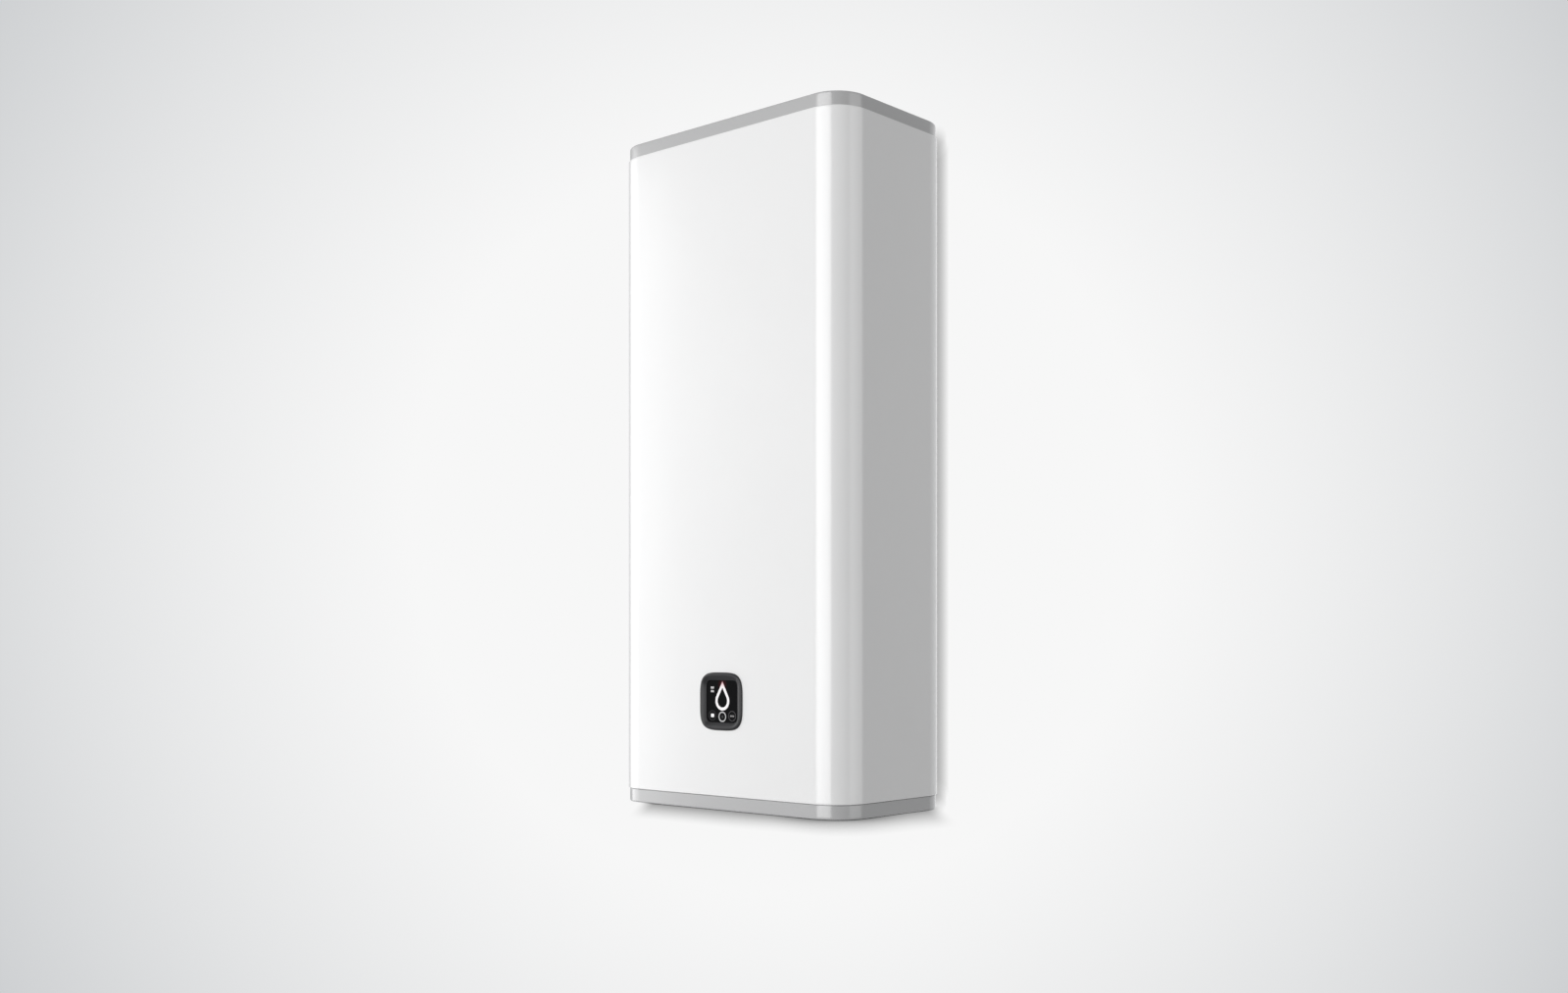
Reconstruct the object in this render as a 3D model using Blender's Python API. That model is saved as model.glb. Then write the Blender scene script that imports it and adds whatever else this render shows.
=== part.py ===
"""A flat wall-hung electric water heater: two upright tanks in foam inside a white steel jacket.

World frame: the wall is the plane y = 0 and the heater stands in front of it, towards -Y.
The origin is the middle of the upper wall bracket's back face. Pieces are placed under an
empty at the bottom of the case, half-way through its depth, so their own heights count from
the bottom edge. All sizes are metres.
"""

import math

import bmesh
import bpy
from mathutils import Matrix, Vector

# Fits and finish shared by all pieces
GAP = 0.0003  # between faces that seat on each other
OVERRUN = 0.002  # how far a cutter runs past the face that it opens
ROUND_STEPS = 16
SMALL_STEPS = 12  # round a bolt, a post or a small hole
LARGE_STEPS = 24  # round a plate, a tank or a button
BEND_STEPS = 8  # along a half circle
ON_AXIS = 1e-6  # a turned point nearer the axis than this lies on it
SMOOTH_ANGLE = math.radians(32)
QUARTER = math.pi / 2

# Case
CASE_WIDTH = 0.490
CASE_DEPTH = 0.276
CASE_HEIGHT = 1.090
CASE_CORNER = 0.055
CORNER_STEPS = 6
SHEET = 0.0008
LIP_WIDTH = 0.005  # hem folded inwards along the jacket's top and bottom edges
RETURN_FLANGE = 0.020  # how far the wrap runs onto the back past its corner
REAR_OVERLAP = 0.015
WALL_GAP = 0.014
HANG_DROP = 0.160  # middle of the upper wall bracket below the top edge
LOWER_BRACKET_HEIGHT = 0.220

# Caps
CAP_INSET = 0.002
CAP_WALL = 0.0025
CAP_EDGE = 0.002
CAP_SKIRT = 0.016
TOP_CAP_HEIGHT = 0.0217
BOTTOM_CAP_HEIGHT = 0.0225
BOTTOM_FLOOR = 0.018  # underside of the bottom cap's raised floor

# Service cover
COVER_LENGTH = 0.344
COVER_WIDTH = 0.110
COVER_CORNER = 0.012
COVER_THICK = 0.0025
COVER_LAP = 0.006
COVER_LAP_END = 0.014
COVER_OFFSET = -0.005
SCREW_HEAD_RADIUS = 0.0035
SCREW_HEAD_HEIGHT = 0.0016
SCREW_CROWN_SHARE = 0.7
SCREW_RIM_SHARE = 0.4
SCREW_SLOT_SHARE = 0.6
SCREW_SHANK_RADIUS = 0.0014
SCREW_LENGTH = 0.011
SCREW_SLOT = 0.0008
SCREW_BOSS_RADIUS = 0.005
SCREW_BOSS_HEIGHT = 0.012

# Tanks
TANK_SPACING = 0.223
TANK_RADIUS = 0.110
TANK_WALL = 0.002
DOME_HEIGHT = 0.045
DOME_STEPS = 4
TANK_BOTTOM_SEAM = 0.155
NECK_RADIUS = 0.0385
NECK_BORE = 0.0345
RING_RADIUS = 0.054
RING_THICK = 0.006
RING_BOTTOM = 0.0915
BOSS_RADIUS = 0.010
BOSS_BORE = 0.0043
BOSS_BORE_DEPTH = 0.018

# Foam
FOAM_BOTTOM = 0.100
FOAM_CLEARANCE = 0.0026  # under the top cap's skirt
FOAM_COVER = 0.005  # thickness over the tanks' domes
LEAD_CHANNEL_WIDTH = 0.012
LEAD_CHANNEL_DEPTH = 0.010

# Pipes
PIPE_SPACING = 0.100
PIPE_BACK = 0.068  # how far the pipes stand behind the tanks' middle plane
PIPE_RADIUS = 0.0105
PIPE_BORE = 0.0078
PIPE_END = 0.003
COLD_PIPE_TOP = 0.160
RISER_RADIUS = 0.0085
RISER_BORE = 0.0070
RISER_STEP = 0.165
RISER_RISE = 0.012  # how far the riser stands above the tank's upper seam
COLLAR_RADIUS = 0.0155
COLLAR_HEIGHT = 0.005
DIFFUSER_WALL = 0.0015
DIFFUSER_HEIGHT = 0.030
DIFFUSER_SLOT = 0.006
DIFFUSER_ENGAGED = 0.012
TRANSFER_RADIUS = 0.0090
TRANSFER_BORE = 0.0078
TRANSFER_SPACING = 0.140
TRANSFER_BEND = 0.0175
TRANSFER_STEPS = 4
TRANSFER_RISE = 0.068  # middle line of its level run above the tanks' upper seam
TRANSFER_REACH = 0.012  # how far it stands inside each dome
DIP_WALL = 0.0015
DIP_BOTTOM = 0.200
DIP_ENGAGED = 0.012

# Flange with its heating parts, one set for each tank
GASKET_THICK = 0.003
PLATE_THICK = 0.005
BOLT_CIRCLE = 0.093
FLANGE_BOLTS = 4
M6_RADIUS = 0.003
M6_ACROSS = 0.010
M6_HEAD = 0.004
ELEMENT_RADIUS = 0.004
ELEMENT_HALF_SPAN = 0.016
ELEMENT_SHIFT = -0.004
ELEMENT_TOP = 0.440
TERMINAL_DROP = 0.008
ANODE_RADIUS = 0.0105
ANODE_STUD = 0.004
ANODE_SHIFT = 0.019
ANODE_TOP = 0.560
SENSOR_RADIUS = 0.006
SENSOR_BORE = 0.0045
SENSOR_SHIFT = -0.020
SENSOR_TOP = 0.380

# Wall brackets
BRACKET_WIDTH = 0.300
BRACKET_SHEET = 0.0025
WEB_HALF_HEIGHT = 0.030
FLANGE_HALF_HEIGHT = 0.048
KEYHOLE_SPACING = 0.150
KEYHOLE_RADIUS = 0.009
KEYHOLE_SLOT = 0.0052
KEYHOLE_DROP = 0.010
KEYHOLE_RISE = 0.013
M8_RADIUS = 0.004
M8_ACROSS = 0.013
M8_HEAD = 0.0053
M8_LENGTH = 0.018

# Parts in the service space under the tanks
TRAY_LENGTH = 0.132
TRAY_WIDTH = 0.056
TRAY_HEIGHT = 0.026
TRAY_WALL = 0.002
TRAY_CLEARANCE = 0.0022  # behind the front of the bottom cap's skirt
BOARD_THICK = 0.0016
BOARD_LIFT = 0.005
RELAY_LENGTH = 0.022
RELAY_WIDTH = 0.016
RELAY_HEIGHT = 0.014
CUTOUT_LENGTH = 0.040
CUTOUT_WIDTH = 0.030
CUTOUT_HEIGHT = 0.034
CUTOUT_CLEARANCE = 0.0322  # in front of the back of the bottom cap's skirt
RESET_RADIUS = 0.0045
RESET_HEAD = 0.0035
RESET_STEM = 0.0022
RESET_TRAVEL = 0.002
RESET_BORE_DEPTH = 0.010
TERMINAL_LENGTH = 0.042
TERMINAL_WIDTH = 0.020
TERMINAL_HEIGHT = 0.020
TERMINAL_CLEARANCE = 0.0482
TERMINAL_SIDE = 0.135
GLAND_SIDE = 0.135
GLAND_CLEARANCE = 0.0262  # from its axis to the back of the bottom cap's skirt
GLAND_RADIUS = 0.010
GLAND_SHANK = 0.0078
GLAND_BORE = 0.0047
GLAND_DROP = 0.010
GLAND_RISE = 0.010

# Control panel on the front. Its outlines are bowed squares of the form |x/a|^p + |z/b|^p = 1
PANEL_HEIGHT = 0.172  # its middle above the bottom edge
PANEL_STEPS = 40
PANEL_CROWDING_SHARE = 0.6  # how strongly the points crowd towards the corners
BEZEL_HALF = 0.0458
BEZEL_POWER = 3.9
BEZEL_CREST_POWER = 4.6
WINDOW_POWER = 9.0
BEZEL_CREST = 0.0415
BEZEL_RISE = 0.0033
RIM_HALF = 0.0335
RIM_SINK = 0.0012
RIM_THICK = 0.0008
COLLAR_INNER = 0.0351
COLLAR_OUTER = 0.0370
COLLAR_REACH = 0.0095
WINDOW_THICK = 0.0022
HOUSING_WALL = 0.0024
HOUSING_DEPTH = 0.024
HOUSING_POST = 0.003
HOUSING_POST_SPREAD = 0.024
DISPLAY_SINK = 0.0085
SWITCH_HALF = 0.003
LEAD_HOLE = 0.004
LEAD_HOLE_DROP = 0.020

# Buttons, lights and lead of the panel
BUTTON_SPACING = 0.0213
SIDE_BUTTON_DROP = 0.0227
CENTRE_BUTTON_DROP = 0.0242
BUTTON_RADIUS = 0.0083
BUTTON_PROUD = 0.0002
BUTTON_RIM = 0.0010
BUTTON_RIM_THICK = 0.0008
BUTTON_STEM = 0.002
BUTTON_STEM_LENGTH = 0.0006
BUTTON_TRAVEL = 0.0008
RING_STEP_RADIUS = 0.0062
RING_DEPTH = 0.0010
DROP_RADIUS = 0.0151
DROP_STROKE = 0.0048
DROP_HALF_ANGLE = math.radians(29.2)
DROP_LIFT = 0.0007
DROP_DEPTH = 0.0012
DROP_STEPS = 22
MARK_SIDE = 0.0216
MARK_LIFT = 0.0186
MARK_PITCH = 0.0057
MARK_LENGTH = 0.0070
MARK_HEIGHT = 0.0033
MARK_BASE = 0.0010
MARK_BASE_MARGIN = 0.0015
LEAD_RADIUS = 0.0022
LOOM_RADIUS = 0.0028
STRAIGHT_SHARE = 0.3  # how much of a wire's first and last stretch stays straight

# Places that follow from the sizes above
FRONT = -CASE_DEPTH / 2
BACK = CASE_DEPTH / 2
SKIRT_INSET = LIP_WIDTH + GAP + CAP_WALL
TANK_SIDE = TANK_SPACING / 2
JACKET_TOP = CASE_HEIGHT - TOP_CAP_HEIGHT
HANG_HEIGHT = CASE_HEIGHT - HANG_DROP
FOAM_TOP = JACKET_TOP + GAP - CAP_SKIRT - FOAM_CLEARANCE
TANK_TOP_SEAM = FOAM_TOP - FOAM_COVER - DOME_HEIGHT
RISER_TOP = TANK_TOP_SEAM + RISER_RISE
TRANSFER_TOP = TANK_TOP_SEAM + TRANSFER_RISE
TRAY_MIDDLE = FRONT + SKIRT_INSET + TRAY_CLEARANCE + TRAY_WIDTH / 2
CUTOUT_MIDDLE = BACK - SKIRT_INSET - CUTOUT_CLEARANCE - CUTOUT_WIDTH / 2
TERMINAL_MIDDLE = BACK - SKIRT_INSET - TERMINAL_CLEARANCE - TERMINAL_WIDTH / 2
GLAND_BACK = BACK - SKIRT_INSET - GLAND_CLEARANCE
REAR_INSIDE = BACK - 2 * SHEET - GAP
REAR_OUTSIDE = REAR_INSIDE + SHEET
WALL_PLANE = BACK + WALL_GAP
FLOOR_TOP = BOTTOM_FLOOR + CAP_WALL
PLATE_TOP = RING_BOTTOM - GASKET_THICK - 2 * GAP
PLATE_BOTTOM = PLATE_TOP - PLATE_THICK
BRACKET_DEPTH = WALL_PLANE - REAR_OUTSIDE - GAP
BRACKET_BOLT_LIFT = (WEB_HALF_HEIGHT + FLANGE_HALF_HEIGHT) / 2
WINDOW_SINK = RIM_SINK + RIM_THICK + GAP
WINDOW_HALF = COLLAR_INNER - GAP
HOUSING_HALF = COLLAR_OUTER + GAP + HOUSING_WALL
BUTTON_RIM_SINK = WINDOW_SINK + WINDOW_THICK + GAP

SIDES = {"left": -1, "right": 1}
AXIS_TURN = {
    "X": Matrix.Rotation(QUARTER, 4, "Y"),
    "Y": Matrix.Rotation(-QUARTER, 4, "X"),
    "Z": Matrix.Identity(4),
}


# Working functions

def clear_scene():
    for obj in list(bpy.data.objects):
        bpy.data.objects.remove(obj)


def finish(name, colour, roughness, metallic=0.0):
    """A plain material; colour is linear red, green, blue."""
    material = bpy.data.materials.new(name)
    material.use_nodes = True
    shader = material.node_tree.nodes["Principled BSDF"]
    shader.inputs["Base Color"].default_value = (*colour, 1.0)
    shader.inputs["Roughness"].default_value = roughness
    shader.inputs["Metallic"].default_value = metallic
    return material


def base_empty():
    """The empty that carries every piece: bottom of the case, middle of its depth."""
    empty = bpy.data.objects.new("case_base", None)
    empty.location = (0, -WALL_PLANE, -HANG_HEIGHT)
    bpy.context.scene.collection.objects.link(empty)
    return empty


def place(name, bm, base, location=(0, 0, 0)):
    bmesh.ops.remove_doubles(bm, verts=bm.verts[:], dist=1e-7)
    bmesh.ops.recalc_face_normals(bm, faces=bm.faces[:])
    mesh = bpy.data.meshes.new(name)
    bm.to_mesh(mesh)
    bm.free()
    obj = bpy.data.objects.new(name, mesh)
    bpy.context.scene.collection.objects.link(obj)
    obj.parent = base
    obj.location = location
    return obj


def piece(name, bm, base, material, location=(0, 0, 0)):
    obj = place(name, bm, base, location)
    obj.data.materials.append(material)
    obj.data.shade_smooth()
    obj.data.set_sharp_from_angle(angle=SMOOTH_ANGLE)
    return obj


def helper(name, bm, base, location=(0, 0, 0)):
    """A shape that only cuts or adds to a piece."""
    obj = place(name, bm, base, location)
    obj.hide_render = True
    obj.display_type = "WIRE"
    return obj


def combine(target, tool, operation="DIFFERENCE"):
    modifier = target.modifiers.new(tool.name, "BOOLEAN")
    modifier.operation = operation
    modifier.solver = "EXACT"
    modifier.object = tool


def loft(rings, wrap=False):
    """Skins closed rings of points in order. With wrap the last ring joins the first."""
    bm = bmesh.new()
    rows = [[bm.verts.new(point) for point in ring] for ring in rings]
    count = len(rows[0])
    pairs = list(zip(rows, rows[1:]))
    if wrap:
        pairs.append((rows[-1], rows[0]))
    for low, high in pairs:
        for i in range(count):
            j = (i + 1) % count
            bm.faces.new((low[i], low[j], high[j], high[i]))
    if not wrap:
        bm.faces.new(rows[0])
        bm.faces.new(rows[-1])
    return bm


def circle(radius, steps=ROUND_STEPS):
    turns = [2 * math.pi * i / steps for i in range(steps)]
    return [(radius * math.cos(t), radius * math.sin(t)) for t in turns]


def hexagon(across, steps=SMALL_STEPS):
    """A hexagon of that width across its flats, with a point at each corner and mid-flat."""
    points = []
    for i in range(steps):
        turn = 2 * math.pi * i / steps
        radius = across / 2 / math.cos((turn + math.pi / 6) % (math.pi / 3) - math.pi / 6)
        points.append((radius * math.cos(turn), radius * math.sin(turn)))
    return points


def turned(profile, steps=ROUND_STEPS, wrap=False):
    """A turned shape about Z from (radius, height) points, spun round in equal steps."""
    bm = bmesh.new()
    verts = [bm.verts.new((radius, 0, height)) for radius, height in profile]
    edges = [bm.edges.new(pair) for pair in zip(verts, verts[1:])]
    if wrap:
        edges.append(bm.edges.new((verts[-1], verts[0])))
    bmesh.ops.spin(bm, geom=verts + edges, cent=(0, 0, 0), axis=(0, 0, 1), angle=2 * math.pi,
                   steps=steps, use_merge=True)
    bmesh.ops.remove_doubles(bm, verts=bm.verts[:], dist=1e-6)
    return bm


def add_rod(bm, start, axis, length, radius, steps=ROUND_STEPS):
    """A closed cylinder that runs from start along an axis."""
    matrix = Matrix.Translation(start) @ AXIS_TURN[axis] @ Matrix.Translation((0, 0, length / 2))
    bmesh.ops.create_cone(bm, cap_ends=True, segments=steps, radius1=radius, radius2=radius,
                          depth=length, matrix=matrix)


def add_block(bm, low, high):
    """A box between two opposite corners."""
    size = Vector(high) - Vector(low)
    middle = (Vector(high) + Vector(low)) / 2
    bmesh.ops.create_cube(bm, size=1, matrix=Matrix.Translation(middle) @ Matrix.Diagonal((*size, 1)))


def rods(starts, axis, length, radius, steps=ROUND_STEPS):
    bm = bmesh.new()
    for start in starts:
        add_rod(bm, start, axis, length, radius, steps)
    return bm


def block(low, high):
    bm = bmesh.new()
    add_block(bm, low, high)
    return bm


def rounded_rectangle(width, depth, radius, steps=CORNER_STEPS):
    """Points of a rectangle with round corners, from the back left corner round the front."""
    points = []
    corners = ((-1, 1), (-1, -1), (1, -1), (1, 1))
    for index, (sx, sy) in enumerate(corners):
        for step in range(steps + 1):
            turn = QUARTER * (index + 1 + step / steps)
            x = sx * (width / 2 - radius) + radius * math.cos(turn)
            y = sy * (depth / 2 - radius) + radius * math.sin(turn)
            points.append((x, y))
    return points


def case_outline(inset):
    return rounded_rectangle(CASE_WIDTH - 2 * inset, CASE_DEPTH - 2 * inset, CASE_CORNER - inset)


def case_rings(stack):
    """Rings of the case's outline from (inset, height) points."""
    return [[(x, y, height) for x, y in case_outline(inset)] for inset, height in stack]


def bowed_square(half, power, steps=PANEL_STEPS):
    points = []
    for i in range(steps):
        step = 2 * math.pi * i / steps
        turn = step + PANEL_CROWDING_SHARE * math.sin(4 * step) / 4
        reach = abs(math.cos(turn)) ** power + abs(math.sin(turn)) ** power
        radius = half / reach ** (1 / power)
        points.append((radius * math.cos(turn), radius * math.sin(turn)))
    return points


def panel_rings(stack):
    """Rings of bowed squares from (half width, power, sink behind the jacket's face) points."""
    return [[(x, sink, z) for x, z in bowed_square(half, power)] for half, power, sink in stack]


def smooth_route(points, per_span=3):
    """Points of a smooth curve through the route's own points, straight at both ends."""
    route = [Vector(point) for point in points]
    route.insert(1, route[0].lerp(route[1], STRAIGHT_SHARE))
    route.insert(-1, route[-1].lerp(route[-2], STRAIGHT_SHARE))
    ends = [2 * route[0] - route[1], *route, 2 * route[-1] - route[-2]]
    made = []
    for i in range(1, len(ends) - 2):
        a, b, c, d = ends[i - 1:i + 3]
        for step in range(per_span):
            t = step / per_span
            made.append((2 * b + (c - a) * t + (2 * a - 5 * b + 4 * c - d) * t ** 2
                         + (3 * b - a - 3 * c + d) * t ** 3) / 2)
    return made + [route[-1]]


def wire(name, points, radius, base, material):
    """A solid round wire along the points."""
    curve = bpy.data.curves.new(name, "CURVE")
    curve.dimensions = "3D"
    curve.bevel_depth = radius
    curve.bevel_resolution = 2
    curve.use_fill_caps = True
    spline = curve.splines.new("POLY")
    spline.points.add(len(points) - 1)
    for slot, point in zip(spline.points, points):
        slot.co = (*point, 1)
    curve.materials.append(material)
    obj = bpy.data.objects.new(name, curve)
    bpy.context.scene.collection.objects.link(obj)
    obj.parent = base
    return obj


# Case

def jacket_section(x, y, inward_x, inward_y):
    """The wrap's section at one place of its outline: a sheet with a hem at the top and the bottom."""
    low = BOTTOM_CAP_HEIGHT
    section = ((0, low), (0, JACKET_TOP), (LIP_WIDTH, JACKET_TOP), (LIP_WIDTH, JACKET_TOP - SHEET),
               (SHEET, JACKET_TOP - SHEET), (SHEET, low + SHEET), (LIP_WIDTH, low + SHEET), (LIP_WIDTH, low))
    return [(x + inward_x * depth, y + inward_y * depth, height) for depth, height in section]


def jacket_wrap(base, material):
    """One sheet bent round the front and both sides, with a return flange on the back."""
    end = CASE_WIDTH / 2 - CASE_CORNER - RETURN_FLANGE
    outer = case_outline(0)
    inner = case_outline(LIP_WIDTH)
    rings = [jacket_section(-end, BACK, 0, -1)]
    for (ox, oy), (ix, iy) in zip(outer, inner):
        rings.append(jacket_section(ox, oy, (ix - ox) / LIP_WIDTH, (iy - oy) / LIP_WIDTH))
    rings.append(jacket_section(end, BACK, 0, -1))
    wrap = piece("jacket_wrap", loft(rings), base, material)
    half = COLLAR_OUTER + GAP
    hole = loft(panel_rings(((half, WINDOW_POWER, -OVERRUN), (half, WINDOW_POWER, LIP_WIDTH + OVERRUN))))
    combine(wrap, helper("panel_hole", hole, base, (0, FRONT, PANEL_HEIGHT)))
    return wrap


def rear_panel(base, material):
    """The flat back sheet, lapped inside the wrap's return flanges."""
    half = CASE_WIDTH / 2 - CASE_CORNER - RETURN_FLANGE + REAR_OVERLAP
    hem = SHEET + GAP
    sheet = block((-half, REAR_INSIDE, BOTTOM_CAP_HEIGHT + hem), (half, REAR_OUTSIDE, JACKET_TOP - hem))
    panel = piece("rear_panel", sheet, base, material)
    starts = [(x, REAR_INSIDE - OVERRUN, z) for x, z in bracket_bolt_places()]
    holes = rods(starts, "Y", SHEET + 2 * OVERRUN, M8_RADIUS + GAP)
    combine(panel, helper("rear_holes", holes, base))
    return panel


def top_cap(base, material):
    low = JACKET_TOP + GAP
    skirt_outer = LIP_WIDTH + GAP
    skirt_inner = SKIRT_INSET
    inside = CAP_INSET + CAP_WALL
    chamfer_in = CAP_EDGE * (1 - math.cos(QUARTER / 2))
    chamfer_down = CAP_EDGE * (1 - math.sin(QUARTER / 2))
    stack = (
        (inside, CASE_HEIGHT - CAP_WALL), (inside, low + CAP_WALL), (skirt_inner, low + CAP_WALL),
        (skirt_inner, low - CAP_SKIRT), (skirt_outer, low - CAP_SKIRT), (skirt_outer, low), (CAP_INSET, low),
        (CAP_INSET, CASE_HEIGHT - CAP_EDGE),
        (CAP_INSET + chamfer_in, CASE_HEIGHT - chamfer_down),
        (CAP_INSET + CAP_EDGE, CASE_HEIGHT),
    )
    return piece("top_cap", loft(case_rings(stack)), base, material)


def bottom_cap(base, material):
    """A dish whose floor is raised above its rim, with screw bosses and holes for the pipes and the gland."""
    high = BOTTOM_CAP_HEIGHT - GAP
    skirt_outer = LIP_WIDTH + GAP
    skirt_inner = SKIRT_INSET
    inside = CAP_INSET + CAP_WALL
    chamfer_in = CAP_EDGE * (1 - math.cos(QUARTER / 2))
    chamfer_up = CAP_EDGE * (1 - math.sin(QUARTER / 2))
    stack = (
        (inside, BOTTOM_FLOOR), (inside, 0), (CAP_INSET + CAP_EDGE, 0), (CAP_INSET + chamfer_in, chamfer_up),
        (CAP_INSET, CAP_EDGE), (CAP_INSET, high), (skirt_outer, high), (skirt_outer, high + CAP_SKIRT),
        (skirt_inner, high + CAP_SKIRT), (skirt_inner, FLOOR_TOP),
    )
    cap = piece("bottom_cap", loft(case_rings(stack)), base, material)
    half_length = COVER_LENGTH / 2 - COVER_LAP_END
    half_width = COVER_WIDTH / 2 - COVER_LAP
    opening = block((-half_length, COVER_OFFSET - half_width, BOTTOM_FLOOR - OVERRUN),
                    (half_length, COVER_OFFSET + half_width, FLOOR_TOP + OVERRUN))
    combine(cap, helper("service_opening", opening, base))
    floor_starts = [(side * PIPE_SPACING / 2, PIPE_BACK, BOTTOM_FLOOR - OVERRUN) for side in SIDES.values()]
    pipe_holes = rods(floor_starts, "Z", CAP_WALL + 2 * OVERRUN, PIPE_RADIUS + GAP)
    combine(cap, helper("pipe_floor_holes", pipe_holes, base))
    gland_hole = rods([(GLAND_SIDE, GLAND_BACK, BOTTOM_FLOOR - OVERRUN)], "Z", CAP_WALL + 2 * OVERRUN,
                      GLAND_SHANK + GAP)
    combine(cap, helper("gland_floor_hole", gland_hole, base))
    lap = CAP_WALL / 2
    boss_starts = [(x, COVER_OFFSET, FLOOR_TOP - lap) for x in cover_screw_places()]
    bosses = rods(boss_starts, "Z", SCREW_BOSS_HEIGHT - CAP_WALL + lap, SCREW_BOSS_RADIUS)
    combine(cap, helper("screw_bosses", bosses, base), "UNION")
    thread_starts = [(x, COVER_OFFSET, BOTTOM_FLOOR - OVERRUN) for x in cover_screw_places()]
    threads = rods(thread_starts, "Z", OVERRUN + SCREW_BOSS_HEIGHT - CAP_WALL / 2, SCREW_SHANK_RADIUS + GAP)
    combine(cap, helper("screw_threads", threads, base))
    return cap


def cover_screw_places():
    reach = COVER_LENGTH / 2 - COVER_LAP_END / 2
    return (-reach, reach)


def service_cover(base, material):
    """The plate that closes the service opening from below."""
    high = BOTTOM_FLOOR - GAP
    outline = rounded_rectangle(COVER_LENGTH, COVER_WIDTH, COVER_CORNER)
    rings = [[(x, y, z) for x, y in outline] for z in (high - COVER_THICK, high)]
    cover = piece("service_cover", loft(rings), base, material, (0, COVER_OFFSET, 0))
    starts = [(x, COVER_OFFSET, high - COVER_THICK - OVERRUN) for x in cover_screw_places()]
    holes = rods(starts, "Z", COVER_THICK + 2 * OVERRUN, SCREW_SHANK_RADIUS + GAP)
    combine(cover, helper("cover_holes", holes, base))
    return cover


def cover_screws(base, material):
    """Pan-head screws with a cross slot, one at each end of the service cover."""
    seat = BOTTOM_FLOOR - GAP - COVER_THICK - GAP
    head = SCREW_HEAD_HEIGHT
    profile = ((0, -head), (SCREW_HEAD_RADIUS * SCREW_CROWN_SHARE, -head),
               (SCREW_HEAD_RADIUS, -head * SCREW_RIM_SHARE), (SCREW_HEAD_RADIUS, 0), (SCREW_SHANK_RADIUS, 0),
               (SCREW_SHANK_RADIUS, SCREW_LENGTH), (0, SCREW_LENGTH + SCREW_SHANK_RADIUS))
    reach = SCREW_HEAD_RADIUS * SCREW_SLOT_SHARE
    for name, x in zip(("left", "right"), cover_screw_places()):
        screw = piece("service_screw_" + name, turned(profile), base, material, (x, COVER_OFFSET, seat))
        for kind, (dx, dy) in (("long", (reach, SCREW_SLOT / 2)), ("cross", (SCREW_SLOT / 2, reach))):
            slot = block((-dx, -dy, -head - OVERRUN), (dx, dy, -head / 2))
            combine(screw, helper("screw_slot_" + kind + "_" + name, slot, base, (x, COVER_OFFSET, seat)))


# Tanks and foam

def dome_points(radius, height, seam, up, end_radius):
    """Points of a half-ellipse dome, from its seam to where it meets end_radius."""
    last = math.acos(end_radius / radius)
    points = []
    for step in range(DOME_STEPS + 1):
        turn = last * step / DOME_STEPS
        points.append((radius * math.cos(turn), seam + up * height * math.sin(turn)))
    return points


def tank_profile():
    """Outside from the top down to the neck's ring, then the inside back up."""
    inner = TANK_RADIUS - TANK_WALL
    inner_height = DOME_HEIGHT - TANK_WALL
    ring_top = RING_BOTTOM + RING_THICK
    outside = dome_points(TANK_RADIUS, DOME_HEIGHT, TANK_TOP_SEAM, 1, 0)[::-1]
    outside += dome_points(TANK_RADIUS, DOME_HEIGHT, TANK_BOTTOM_SEAM, -1, NECK_RADIUS)
    neck = [(NECK_RADIUS, ring_top), (RING_RADIUS, ring_top), (RING_RADIUS, RING_BOTTOM),
            (NECK_BORE, RING_BOTTOM)]
    inside = dome_points(inner, inner_height, TANK_BOTTOM_SEAM, -1, NECK_BORE)[::-1]
    inside += dome_points(inner, inner_height, TANK_TOP_SEAM, 1, 0)
    profile = outside + neck + inside
    return [(radius if radius > ON_AXIS else 0, height) for radius, height in profile]


def bracket_bolt_places():
    """(x, height) of the four bracket bolts, one in each tank at each bracket."""
    heights = (HANG_HEIGHT + BRACKET_BOLT_LIFT, LOWER_BRACKET_HEIGHT + BRACKET_BOLT_LIFT)
    return [(side * TANK_SIDE, height) for height in heights for side in SIDES.values()]


def flange_bolt_places(side):
    """Centres of the bolts round a tank's neck, in the case's plan."""
    places = []
    for i in range(FLANGE_BOLTS):
        turn = 2 * math.pi * (i + 1 / 2) / FLANGE_BOLTS
        places.append((side * TANK_SIDE + BOLT_CIRCLE / 2 * math.cos(turn), BOLT_CIRCLE / 2 * math.sin(turn)))
    return places


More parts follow.
